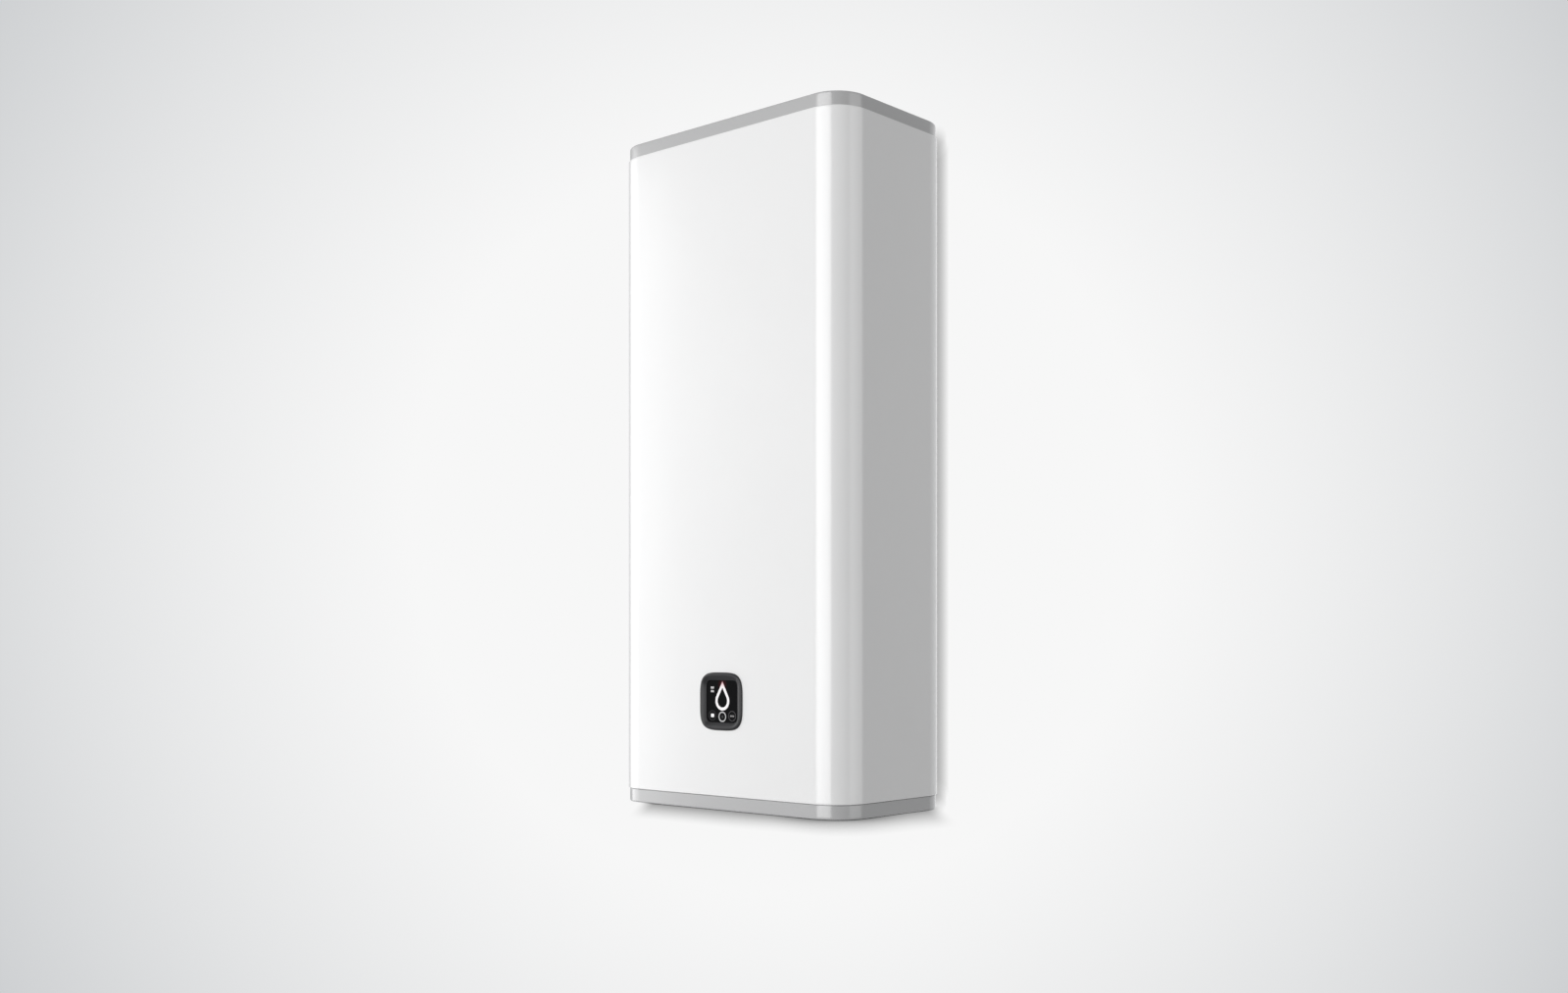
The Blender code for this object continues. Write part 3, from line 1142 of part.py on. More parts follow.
def build():
    clear_scene()
    base = base_empty()
    white = finish("white painted steel", (0.82, 0.82, 0.82), 0.3)
    galvanised = finish("galvanised sheet", (0.55, 0.56, 0.57), 0.45, 1.0)
    cap_grey = finish("pale grey plastic", (0.47, 0.47, 0.48), 0.45)
    black = finish("black plastic", (0.008, 0.008, 0.009), 0.25)
    bezel_grey = finish("dark grey plastic", (0.065, 0.065, 0.07), 0.4)
    gloss = finish("black gloss window", (0.004, 0.004, 0.005), 0.08)
    light = finish("white light guide", (0.9, 0.88, 0.87), 0.3)
    silver = finish("silver trim", (0.62, 0.62, 0.63), 0.3, 0.6)
    white_plastic = finish("white plastic", (0.72, 0.72, 0.70), 0.5)
    blue = finish("blue plastic", (0.02, 0.10, 0.55), 0.45)
    red = finish("red plastic", (0.55, 0.02, 0.02), 0.45)
    enamel = finish("blue enamel", (0.03, 0.06, 0.14), 0.25)
    foam = finish("polyurethane foam", (0.72, 0.60, 0.36), 0.9)
    steel = finish("steel pipe", (0.50, 0.50, 0.50), 0.35, 1.0)
    laminate = finish("green laminate", (0.02, 0.16, 0.06), 0.5)
    cable = finish("grey cable sheath", (0.20, 0.20, 0.20), 0.6)
    finishes = {
        "rubber": finish("black rubber", (0.015, 0.015, 0.015), 0.8),
        "plate": finish("enamelled plate", (0.05, 0.07, 0.12), 0.35),
        "element": finish("element sheath", (0.45, 0.42, 0.38), 0.4, 1.0),
        "anode": finish("magnesium", (0.55, 0.55, 0.55), 0.6, 1.0),
        "steel": steel,
        "zinc": finish("zinc-plated steel", (0.62, 0.60, 0.52), 0.35, 1.0),
    }
    jacket_wrap(base, white)
    rear_panel(base, galvanised)
    top_cap(base, cap_grey)
    bottom_cap(base, cap_grey)
    service_cover(base, cap_grey)
    cover_screws(base, finishes["zinc"])
    insulation_foam(base, foam)
    for name, side in SIDES.items():
        tank(name, side, base, enamel)
        flange_set(name, side, base, finishes)
        wiring_loom(name, side, base, cable)
    cold_inlet(base, steel, blue, white_plastic)
    hot_outlet(base, steel, red)
    transfer(base, steel, white_plastic)
    wall_bracket("upper", HANG_HEIGHT, base, galvanised)
    wall_bracket("lower", LOWER_BRACKET_HEIGHT, base, galvanised)
    bracket_bolts(base, finishes["zinc"])
    power_board(base, white_plastic, laminate)
    safety_cutout(base, black, red)
    terminal_block(base, white_plastic)
    cable_gland(base, black)
    panel_bezel(base, bezel_grey)
    panel_window(base, gloss)
    panel_lights(base, light)
    panel_buttons(base, black, silver)
    display_board(base, laminate)
    panel_housing(base, black)
    display_lead(base, cable)


build()
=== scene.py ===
import math

import bpy
import numpy as np
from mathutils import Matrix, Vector


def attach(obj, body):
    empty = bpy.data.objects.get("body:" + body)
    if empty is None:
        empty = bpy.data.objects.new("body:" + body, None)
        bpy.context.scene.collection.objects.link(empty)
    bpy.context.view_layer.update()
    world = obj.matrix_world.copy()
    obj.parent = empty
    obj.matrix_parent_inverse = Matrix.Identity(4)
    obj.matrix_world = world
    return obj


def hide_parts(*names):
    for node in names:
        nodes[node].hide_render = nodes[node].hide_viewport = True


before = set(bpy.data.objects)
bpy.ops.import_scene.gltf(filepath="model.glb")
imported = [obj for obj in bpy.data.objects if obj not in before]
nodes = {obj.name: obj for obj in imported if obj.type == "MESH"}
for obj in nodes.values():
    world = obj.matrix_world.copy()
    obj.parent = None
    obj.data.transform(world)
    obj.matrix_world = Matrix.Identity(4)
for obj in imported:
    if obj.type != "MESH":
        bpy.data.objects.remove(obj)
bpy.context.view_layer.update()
print("frame loaded:", len(nodes), "nodes")

# A flat wall-hung water heater. The heights and depths below count from the bottom edge and the middle
# of the case, as a maker's drawing would, and toWorld shifts them to the frame of the CAD model.
toWorld = np.array([0.0, -0.152, -0.930])
tau = 2 * math.pi
hairline = 0.0003  # metres: how far a fine edge is broken, and the gap left between neighbours
overcut = 0.001  # metres that a cutting shape reaches past the face that it cuts
crease = 32  # degrees: the angle from which an edge is drawn sharp
sides = {"left": -1, "right": 1}

camera = {"place": (1.7687, -2.1506, -0.6574), "turn": 41.343, "lens": 37.34, "shiftY": 0.0900}

case = {
    "width": 0.490, "depth": 0.276, "height": 1.090, "corner": 0.055,
    "sheet": 0.0008, "lip": 0.005, "hemRadius": 0.0007, "returnFlange": 0.020,
    "low": 0.0225, "high": 1.0683, "cornerSteps": 20, "flatMargin": 0.003,
}


def makePiece(name, points, faces, material, body="case", node=None, slot=None, sharpAngle=crease):
    # points and faces become one piece that rides on its body and stands for the CAD node named; slot is not
    # used
    mesh = bpy.data.meshes.new(name)
    mesh.from_pydata((points + toWorld).tolist(), [], faces)
    mesh.update()
    mesh.shade_smooth()
    mesh.set_sharp_from_angle(angle=math.radians(sharpAngle))
    piece = bpy.data.objects.new(name, mesh)
    bpy.context.scene.collection.objects.link(piece)
    mesh.materials.append(material)
    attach(piece, body)
    if node:
        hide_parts(node)
    return piece


def gridFaces(rows, columns, wrapRows, fillEnds):
    # quads between neighbours of a rows x columns grid of points, whose rows are closed rings
    index = np.arange(rows * columns).reshape(rows, columns)
    if wrapRows:
        index = np.vstack([index, index[:1]])
    index = np.hstack([index, index[:, :1]])
    quads = np.stack([index[:-1, :-1], index[:-1, 1:], index[1:, 1:], index[1:, :-1]], axis=-1)
    faces = quads.reshape(-1, 4).tolist()
    if fillEnds:
        faces += [list(range(columns))[::-1], list(range((rows - 1) * columns, rows * columns))]
    return faces


def outward(points, faces):
    # six times the volume, the sum of a . (b x c) over the faces' triangles, tells which way the shell faces;
    # where it is negative every face is turned round
    volume = 0.0
    quads = np.array([face for face in faces if len(face) == 4])
    a, b, c, d = (points[quads[:, i]] for i in range(4))
    volume += np.einsum("ij,ij->", a, np.cross(b, c)) + np.einsum("ij,ij->", a, np.cross(c, d))
    for face in faces:
        if len(face) != 4:
            ring = points[face]
            volume += np.einsum("ij,ij->", np.repeat(ring[:1], len(ring) - 2, 0),
                                np.cross(ring[1:-1], ring[2:]))
    return faces if volume > 0 else [face[::-1] for face in faces]


def closedShell(grid, wrapRows=False):
    # points and outward faces of a stack of rings: its last ring meets its first, or both its ends are filled
    rows, columns = grid.shape[:2]
    points = grid.reshape(-1, 3)
    return points, outward(points, gridFaces(rows, columns, wrapRows, not wrapRows))


def gridPiece(name, grid, material, wrapRows=False, **place):
    # grid is rows x columns x 3, each row one closed ring
    return makePiece(name, *closedShell(grid, wrapRows), material, **place)


def toolShape(name, grid, wrapRows=False):
    # a closed shape for cutAway, which cuts it out of a piece or joins it on
    points, faces = closedShell(grid, wrapRows)
    mesh = bpy.data.meshes.new(name)
    mesh.from_pydata((points + toWorld).tolist(), [], faces)
    tool = bpy.data.objects.new(name, mesh)
    bpy.context.scene.collection.objects.link(tool)
    return tool


def lifted(outline, height):
    # a ring in the plane z = height from an outline's (x, y)
    return np.column_stack([outline, np.full(len(outline), height)])


def sunk(outline, depth):
    # a ring in the plane y = depth from an outline's (x, z)
    return np.column_stack([outline[:, 0], np.full(len(outline), depth), outline[:, 1]])


def boxTool(name, low, high):
    # a closed block between two corners
    corners = np.array([(low[0], low[1]), (high[0], low[1]), (high[0], high[1]), (low[0], high[1])])
    return toolShape(name, np.array([lifted(corners, z) for z in (low[2], high[2])]))


def cutAway(piece, tools, joined=()):
    # joins some shapes to the piece, cuts the tools out of it and keeps the result as its own mesh
    tools = [*joined, *tools]
    for tool in tools:
        cut = piece.modifiers.new(tool.name, "BOOLEAN")
        cut.operation = "UNION" if tool in joined else "DIFFERENCE"
        cut.solver = "EXACT"
        cut.object = tool
    bpy.context.view_layer.update()
    graph = bpy.context.evaluated_depsgraph_get()
    mesh = bpy.data.meshes.new_from_object(piece.evaluated_get(graph))
    piece.modifiers.clear()
    old = piece.data
    piece.data = mesh
    bpy.data.meshes.remove(old)
    mesh.name = piece.name
    mesh.shade_smooth()
    mesh.set_sharp_from_angle(angle=math.radians(crease))
    for tool in tools:
        bpy.data.objects.remove(tool)
    return piece


def caseOutline(inset):
    # a rectangle with round corners, inset evenly: each corner is an arc with one more point just inside each
    # flat, so that the flats keep their own normals
    radius = case["corner"] - inset
    cornerX = case["width"] / 2 - case["corner"]
    cornerY = case["depth"] / 2 - case["corner"]
    turns = np.linspace(0, math.pi / 2, case["cornerSteps"] + 1)
    out = []
    for number, (signX, signY) in enumerate(((-1, 1), (-1, -1), (1, -1), (1, 1))):
        turn = turns + math.pi / 2 * (number + 1)
        arc = np.stack([signX * cornerX + radius * np.cos(turn), signY * cornerY + radius * np.sin(turn)],
                       axis=1)
        before = np.array([math.sin(turn[0]), -math.cos(turn[0])]) * case["flatMargin"]
        after = np.array([-math.sin(turn[-1]), math.cos(turn[-1])]) * case["flatMargin"]
        out += [arc[:1] + before, arc, arc[-1:] + after]
    return np.concatenate(out)


def caseRings(stack):
    # rings of the case's outline from (inset, height) pairs
    return np.array([lifted(caseOutline(inset), height) for inset, height in stack])


def arcPoints(centreA, centreB, radius, start, end, steps):
    # points of an arc in a section plane, angles in degrees
    turn = np.radians(np.linspace(start, end, steps + 1))
    return np.column_stack([centreA + radius * np.cos(turn), centreB + radius * np.sin(turn)])


def bowedSquare(half, power, steps):
    # |x / half|^power + |z / half|^power = 1, whose angles step + 0.15 sin(4 step) crowd the
    # points towards its corners
    step = np.linspace(0, tau, steps, endpoint=False)
    turn = step + 0.6 * np.sin(4 * step) / 4
    radius = half / (np.abs(np.cos(turn)) ** power + np.abs(np.sin(turn)) ** power) ** (1 / power)
    return np.column_stack([radius * np.cos(turn), radius * np.sin(turn)])


def turnedGrid(profile, steps, centre=(0, 0), axis="Z"):
    # a profile of (radius, height) pairs carried round an axis; along Y the heights count towards the viewer
    profile = np.asarray(profile, float)
    turn = np.linspace(0, tau, steps, endpoint=False)
    radius, height = profile[:, :1], profile[:, 1:]
    a = radius * np.cos(turn)
    b = radius * np.sin(turn)
    h = np.broadcast_to(height, a.shape)
    if axis == "Z":
        return np.stack([a + centre[0], b + centre[1], h], axis=-1)
    return np.stack([a + centre[0], -h, b + centre[1]], axis=-1)


def toLinear(hexCode):
    # an sRGB colour written as hex, turned to linear light
    channels = [int(hexCode[i:i + 2], 16) / 255 for i in (1, 3, 5)]
    return tuple(c / 12.92 if c <= 0.04045 else ((c + 0.055) / 1.055) ** 2.4 for c in channels) + (1.0,)


def perMillimetre(size):
    # the scale of a texture whose features are about size millimetres wide, in a scene measured in metres
    return 1000 / size


def addNode(tree, kind, inputs=None, **settings):
    # adds a shader node, sets its properties, and fills its sockets with values or links them
    node = tree.nodes.new("ShaderNode" + kind)
    for name, value in settings.items():
        setattr(node, name, value)
    for name, value in (inputs or {}).items():
        if isinstance(value, bpy.types.NodeSocket):
            tree.links.new(value, node.inputs[name])
        else:
            node.inputs[name].default_value = value
    return node


def startMaterial(name, **sockets):
    # a Principled material with its uniform values set on the shader's own sockets
    material = bpy.data.materials.new(name)
    material.use_nodes = True
    tree = material.node_tree
    shader = tree.nodes["Principled BSDF"]
    for socket, value in sockets.items():
        shader.inputs[socket.replace("_", " ")].default_value = value
    place = addNode(tree, "TexCoord").outputs["Object"]
    return material, tree, shader, place


def mottle(tree, place, size, dark, light):
    # a soft mix between two shades of one colour, in patches about size millimetres wide
    noise = addNode(tree, "TexNoise", {"Vector": place, "Scale": perMillimetre(size), "Detail": 3.0})
    mix = addNode(tree, "Mix", {0: noise.outputs["Fac"], 6: toLinear(dark), 7: toLinear(light)},
                  data_type="RGBA")
    return mix.outputs[2]


def grainBump(tree, shader, place, size, height, strength, kind="TexNoise"):
    # relief of grains about size millimetres wide and height millimetres high
    grain = addNode(tree, kind, {"Vector": place, "Scale": perMillimetre(size)})
    output = grain.outputs["Fac"] if kind == "TexNoise" else grain.outputs["Distance"]
    bump = addNode(tree, "Bump", {"Height": output, "Distance": height / 1000, "Strength": strength})
    tree.links.new(bump.outputs["Normal"], shader.inputs["Normal"])


def roughSpread(tree, shader, place, size, low, high):
    # roughness that wanders between two values in patches about size millimetres wide
    noise = addNode(tree, "TexNoise", {"Vector": place, "Scale": perMillimetre(size), "Detail": 2.0})
    spread = addNode(tree, "MapRange", {"Value": noise.outputs["Fac"], "To Min": low, "To Max": high})
    tree.links.new(spread.outputs["Result"], shader.inputs["Roughness"])


def patchedFinish(name, shades, rough, grain=(), **sockets):
    # what most finishes share: two close shades in soft patches, a roughness that wanders between two values,
    # and the grain of the real surface; shades (size, dark, light), rough (size, low, high), grain (size,
    # height, strength), with every size and height in millimetres
    material, tree, shader, place = startMaterial(name, **sockets)
    tree.links.new(mottle(tree, place, *shades), shader.inputs["Base Color"])
    if rough:
        roughSpread(tree, shader, place, *rough)
    if grain:
        grainBump(tree, shader, place, *grain)
    return material


def mouldedPlain(name, dark, light):
    # coloured or white ABS with a moulded grain
    return patchedFinish(name, (16, dark, light), (7, 0.38, 0.48), (0.9, 0.02, 0.4), IOR=1.53)


def dullRubber(name, dark, light):
    # extruded or moulded rubber, matt, with a dusty bloom
    return patchedFinish(name, (10, dark, light), (6, 0.7, 0.85), IOR=1.52)


def galvanisedSheet():
    # hot-dip galvanised steel: crystals of zinc, each of its own grey, about 9 mm across
    material, tree, shader, place = startMaterial("hot-dip galvanised steel", Metallic=1.0)
    cells = addNode(tree, "TexVoronoi", {"Vector": place, "Scale": perMillimetre(9), "Randomness": 1.0})
    tone = addNode(tree, "SeparateColor", {"Color": cells.outputs["Color"]})
    mix = addNode(tree, "Mix", {0: tone.outputs["Red"], 6: toLinear("#AFB2B4"), 7: toLinear("#BCBEC0")},
                  data_type="RGBA")
    tree.links.new(mix.outputs[2], shader.inputs["Base Color"])
    spread = addNode(tree, "MapRange", {"Value": tone.outputs["Green"], "To Min": 0.38, "To Max": 0.46})
    tree.links.new(spread.outputs["Result"], shader.inputs["Roughness"])
    return material


def boardLaminate():
    # glass-fibre laminate under green solder mask, with the weave just showing
    material, tree, shader, place = startMaterial("green solder mask laminate", IOR=1.5)
    weave = addNode(tree, "TexChecker", {"Vector": place, "Color1": toLinear("#1F5A36"),
                                         "Color2": toLinear("#235F3A"), "Scale": perMillimetre(1.2)})
    tree.links.new(weave.outputs["Color"], shader.inputs["Base Color"])
    roughSpread(tree, shader, place, 4, 0.25, 0.4)
    return material


# sheet steel with a baked satin powder coat: a faint orange peel that only the highlights show
powderWhite = patchedFinish("powder coated sheet steel", (240, "#EBEBEB", "#EFEFEF"), (60, 0.27, 0.31),
                            (2.2, 0.012, 0.5), IOR=1.5, Coat_Weight=1.0, Coat_Roughness=0.16)
# injection moulded ABS, pale warm grey, with the fine spark-eroded grain of its tool
capGrey = patchedFinish("moulded ABS pale grey", (180, "#B3B3B4", "#B6B6B6"), (40, 0.27, 0.30),
                        (0.9, 0.01, 0.35), IOR=1.53, Coat_Weight=1.0, Coat_Roughness=0.16, Coat_IOR=1.58)
# ABS moulded dark grey with a smooth satin face
bezelGrey = patchedFinish("moulded ABS dark grey", (20, "#232325", "#28282A"), (5, 0.34, 0.40),
                          (0.7, 0.012, 0.35), IOR=1.53, Specular_IOR_Level=0.32)
# black nylon with a moulded grain, for fittings that stay out of sight
fittingBlack = patchedFinish("moulded nylon black", (14, "#161617", "#1B1B1C"), (6, 0.35, 0.45),
                             (0.8, 0.02, 0.4), IOR=1.53)
# zinc-plated and yellow-clear passivated fasteners, with a brushed spread of gloss
zinc = patchedFinish("zinc plated steel", (5, "#B9B49F", "#CFCBB9"), (2, 0.25, 0.40), Metallic=1.0)
# seamless drawn steel tube, with the die's faint dark marks and a dull oxide
tubeSteel = patchedFinish("drawn steel tube", (8, "#8E8E8C", "#A9A8A5"), (3, 0.30, 0.45), (0.6, 0.01, 0.3),
                          Metallic=1.0)
# deep blue glass enamel fired on steel, glossy with slight pooling
enamel = patchedFinish("fired vitreous enamel", (30, "#1B2B45", "#2A3D5C"), (25, 0.15, 0.28), (6, 0.05, 0.3),
                       IOR=1.52, Coat_Weight=0.5, Coat_Roughness=0.05)
# poured polyurethane foam: straw yellow with closed cells about 1.5 mm wide
foam = patchedFinish("poured polyurethane foam", (12, "#D8C79A", "#E6D8B0"), (),
                     (1.5, 0.25, 0.8, "TexVoronoi"), Roughness=0.9)
# nickel alloy sheath, annealed: straw and blue heat tints in slow bands
sheath = patchedFinish("annealed alloy sheath", (40, "#8A8074", "#A79B86"), (5, 0.35, 0.5), Metallic=1.0)
# sacrificial anode rod, cast magnesium with a dull pitted skin
magnesium = patchedFinish("cast magnesium", (6, "#8F9193", "#A6A8AA"), (4, 0.5, 0.65), (1.5, 0.08, 0.5),
                          Metallic=1.0)
whiteMoulded = mouldedPlain("moulded ABS white", "#D6D5D0", "#DEDDD8")
blueMoulded = mouldedPlain("moulded ABS blue", "#1C4FB0", "#2157B8")
redMoulded = mouldedPlain("moulded ABS red", "#B51F1C", "#BF2622")
gasketRubber = dullRubber("moulded nitrile rubber", "#1A1A1A", "#232323")
cableSheath = dullRubber("extruded cable sheath", "#6E6E6E", "#7A7A7A")
galvanised = galvanisedSheet()
laminate = boardLaminate()
print("materials ready")


panel = {
    "height": 0.172, "front": -0.138,
    "bezelHalf": 0.0458, "bezelPower": 3.9, "crestHalf": 0.0415, "crestPower": 4.6, "rise": 0.0033,
    "rimHalf": 0.0335, "rimPower": 9.0, "rimSink": 0.0012, "rimThick": 0.0008,
    "collarInner": 0.0351, "collarOuter": 0.0370, "collarReach": 0.0095, "collarRoom": 0.0002, "back": 0.0003,
    "holeCut": (-0.004, 0.010), "footEdge": 0.0006, "footRise": 0.0002, "rimEdge": 0.0001,
    "slopePower": 1.35, "squarePower": 1.5,
    "windowHalf": 0.0348, "windowSink": 0.0023, "windowThick": 0.0022, "proud": 0.0002,
}
buttons = {
    "radius": 0.0083, "rim": 0.0010, "rimThick": 0.0008,
    "rimSink": 0.0048, "stem": 0.002, "stemLength": 0.0006,
    "edge": 0.0003, "dish": 0.00012, "room": 0.00012, "steps": 72,
    "places": {"left": (-0.0213, -0.0227), "centre": (0.0, -0.0242), "right": (0.0213, -0.0227)},
    "ringStep": 0.0062, "ringDepth": 0.0010,
}
drop = {
    "radius": 0.0151, "stroke": 0.0048, "halfAngle": 29.2,
    "lift": 0.0007, "depth": 0.0012, "steps": 72, "crown": 0.00015,
    "room": 0.0001, "under": 0.0002, "rimShare": 0.05, "tip": 0.0265, "glowFrom": 0.002, "glowTo": 0.012,
}
marks = {
    "side": 0.0216, "lift": 0.0186, "pitch": 0.0057, "length": 0.0070, "height": 0.0033, "base": 0.0010,
    "margin": 0.0015, "round": 0.0004, "barRound": 0.0008, "padEdge": 0.00015, "room": 0.0001,
}
panelCentre = np.array([0.0, panel["front"], panel["height"]])


def windowGloss():
    # acrylic printed black on its back, polished in front; the red light of the lamp behind the
    # drop's tip is painted into its base colour as a glow that fades with the distance from the tip
    material, tree, shader, place = startMaterial("back-printed black acrylic", IOR=1.49, Roughness=0.06,
                                                  Specular_IOR_Level=0.13)
    tip = panelCentre + toWorld + np.array([0.0, 0.0, drop["tip"]])
    offset = addNode(tree, "VectorMath", {0: place, 1: tuple(tip)}, operation="DISTANCE")
    span = {"Value": offset.outputs["Value"], "From Min": drop["glowFrom"], "From Max": drop["glowTo"],
            "To Min": 1.0, "To Max": 0.0}
    glow = addNode(tree, "MapRange", span, interpolation_type="SMOOTHSTEP")
    # painted glow: the base colour reddens near the drop's tip, standing in for the lamp's light
    mix = addNode(tree, "Mix", {0: glow.outputs["Result"], 6: toLinear("#0B0B0C"), 7: toLinear("#3A1216")},
                  data_type="RGBA")
    tree.links.new(mix.outputs[2], shader.inputs["Base Color"])
    return material


def lightGuideWhite(name, white, lit, redFrom, redTo):
    # opal polycarbonate lit from behind: white, reddening between two heights over the panel's middle, the
    # red light of the lamp behind the drop's tip painted into its base colour and its glow
    material, tree, shader, place = startMaterial(name, IOR=1.58, Roughness=0.35)
    height = addNode(tree, "SeparateXYZ", {"Vector": place}).outputs["Z"]
    base = panelCentre[2] + toWorld[2]
    redden = addNode(tree, "MapRange", {"Value": height, "From Min": base + redFrom,
                                        "From Max": base + redTo}, interpolation_type="SMOOTHSTEP")
    # painted light: the red of the lamp behind the drop's tip, in the base colour as well as the glow
    mix = addNode(tree, "Mix", {0: redden.outputs["Result"], 6: toLinear(white), 7: toLinear("#CF9AA0")},
                  data_type="RGBA")
    tree.links.new(mix.outputs[2], shader.inputs["Base Color"])
    tree.links.new(mix.outputs[2], shader.inputs["Emission Color"])
    shader.inputs["Emission Strength"].default_value = lit
    return material


def buttonGloss(name, centre, ringRadius, ringWidth, ringColour, symbol, symbolColour, lit):
    # a black acrylic key with a ring and a symbol printed on it, the symbol lit from behind where lit is set
    material, tree, shader, place = startMaterial(name, IOR=1.49, Roughness=0.10, Specular_IOR_Level=0.17)
    middle = panelCentre + toWorld + np.array([centre[0], 0.0, centre[1]])
    local = addNode(tree, "VectorMath", {0: place, 1: tuple(middle)}, operation="SUBTRACT").outputs["Vector"]
    flat = addNode(tree, "VectorMath", {0: local, 1: (1.0, 0.0, 1.0)}, operation="MULTIPLY").outputs["Vector"]
    reach = addNode(tree, "VectorMath", {0: flat}, operation="LENGTH").outputs["Value"]
    fromRing = addNode(tree, "Math", {0: reach, 1: ringRadius}, operation="SUBTRACT").outputs[0]
    fromRing = addNode(tree, "Math", {0: fromRing}, operation="ABSOLUTE").outputs[0]
    soft = 0.00012  # metres over which a printed edge fades
    ring = addNode(tree, "MapRange",
                   {"Value": fromRing, "From Min": ringWidth / 2 - soft, "From Max": ringWidth / 2 + soft,
                    "To Min": 1.0, "To Max": 0.0}).outputs["Result"]
    colour = addNode(tree, "Mix", {0: ring, 6: toLinear("#0C0C0D"), 7: toLinear(ringColour)},
                     data_type="RGBA").outputs[2]
    # the symbol is a rounded box |x/a|^p + |z/b|^p <= 1
    halfX, halfZ, power = symbol
    parts = addNode(tree, "SeparateXYZ", {"Vector": flat})
    total = None
    for axis, half in (("X", halfX), ("Z", halfZ)):
        share = addNode(tree, "Math", {0: parts.outputs[axis], 1: half}, operation="DIVIDE").outputs[0]
        share = addNode(tree, "Math", {0: share}, operation="ABSOLUTE").outputs[0]
        share = addNode(tree, "Math", {0: share, 1: power}, operation="POWER").outputs[0]
        if total:
            share = addNode(tree, "Math", {0: total, 1: share}, operation="ADD").outputs[0]
        total = share
    span = {"Value": total, "From Min": 0.9, "From Max": 1.1, "To Min": 1.0, "To Max": 0.0}
    inside = addNode(tree, "MapRange", span).outputs["Result"]
    tones = {0: inside, 6: colour, 7: toLinear(symbolColour)}
    colour = addNode(tree, "Mix", tones, data_type="RGBA").outputs[2]
    if lit:
        tones = {0: inside, 6: toLinear("#000000"), 7: toLinear(symbolColour)}
        glow = addNode(tree, "Mix", tones, data_type="RGBA").outputs[2]
        tree.links.new(glow, shader.inputs["Emission Color"])
        shader.inputs["Emission Strength"].default_value = lit
    tree.links.new(colour, shader.inputs["Base Color"])
    return material


windowBlack = windowGloss()
opalWhite = lightGuideWhite("moulded opal polycarbonate, lamp behind", "#EEEBEC", 0.12, 0.019, 0.033)
opalMark = mouldedPlain("moulded opal polycarbonate", "#BAB8B9", "#C2C0C1")
leftKey = buttonGloss("printed key, lit square", buttons["places"]["left"], ringRadius=0.0076,
                      ringWidth=0.0008, ringColour="#3A3A3C", symbol=(0.0036, 0.0027, 5.0),
                      symbolColour="#F2F1F2", lit=0.15)
centreKey = buttonGloss("printed key, drop mark", buttons["places"]["centre"], ringRadius=0.0078,
                        ringWidth=0.0006, ringColour="#151516", symbol=(0.0019, 0.0026, 1.3),
                        symbolColour="#454547", lit=0)
rightKey = buttonGloss("printed key, bar", buttons["places"]["right"], ringRadius=0.0076,
                       ringWidth=0.0008, ringColour="#5E5C5E", symbol=(0.0045, 0.00125, 6.0),
                       symbolColour="#8E8C8C", lit=0)
ringSilver = mouldedPlain("ABS painted silver grey", "#BDBCBD", "#C6C5C6")


def jacketSection():
    # (depth inwards, height) round the folded sheet: outer face, rolled hem, lip, inner face and back
    low, high, sheet, lip = case["low"], case["high"], case["sheet"], case["lip"]
    r = case["hemRadius"]
    margin = case["flatMargin"]
    rows = [(0, low + r + margin), (0, high - r - margin)]
    rows += arcPoints(r, high - r, r, 180, 90, 5).tolist()
    rows += [(lip, high), (lip, high - sheet), (sheet + r, high - sheet), (sheet, high - sheet - r)]
    rows += [(sheet, low + sheet + r), (sheet + r, low + sheet), (lip, low + sheet), (lip, low)]
    rows += arcPoints(r, low + r, r, 270, 180, 5).tolist()
    return np.array(rows)


def buildJacket():
    # the section carried along the case's outline from one return flange round the front to the other
    end = case["width"] / 2 - case["corner"] - case["returnFlange"]
    back = case["depth"] / 2
    rings = []
    for depth, height in jacketSection():
        rings.append(lifted(np.vstack([[-end, back - depth], caseOutline(depth), [end, back - depth]]),
                            height))
    grid = np.array(rings).transpose(1, 0, 2)  # rows run along the path, columns round the section
    piece = gridPiece("jacket_shell", grid, powderWhite, node="jacket_wrap", slot="white_steel")
    outline = bowedSquare(panel["collarOuter"] + panel["collarRoom"], panel["rimPower"], 96)
    hole = [sunk(outline, sink) + panelCentre for sink in panel["holeCut"]]
    cutAway(piece, [toolShape("panel hole", np.array(hole))])


caps = {
    "inset": 0.002, "wall": 0.0025, "edge": 0.0024,
    "skirt": 0.016, "gap": 0.0003, "seam": 0.0007, "floor": 0.018,
    # a ring so far inside a flat lets it keep its own normal
    "flat": 0.002, "roofFlat": 0.004, "inFlat": 0.010,
    "through": 0.004,
    # the dish's ways as (x, y, radius, steps), a little wider than the pipes, gland and screws that pass them
    "ways": {
        "cold way": (0.05, 0.068, 0.0109, 48), "hot way": (-0.05, 0.068, 0.0109, 48),
        "gland way": (0.135, 0.104, 0.0081, 48),
        "screw left": (-0.165, -0.005, 0.0017, 24), "screw right": (0.165, -0.005, 0.0017, 24),
    },
    "serviceHalf": 0.158, "serviceFront": -0.054, "serviceBack": 0.044,
}


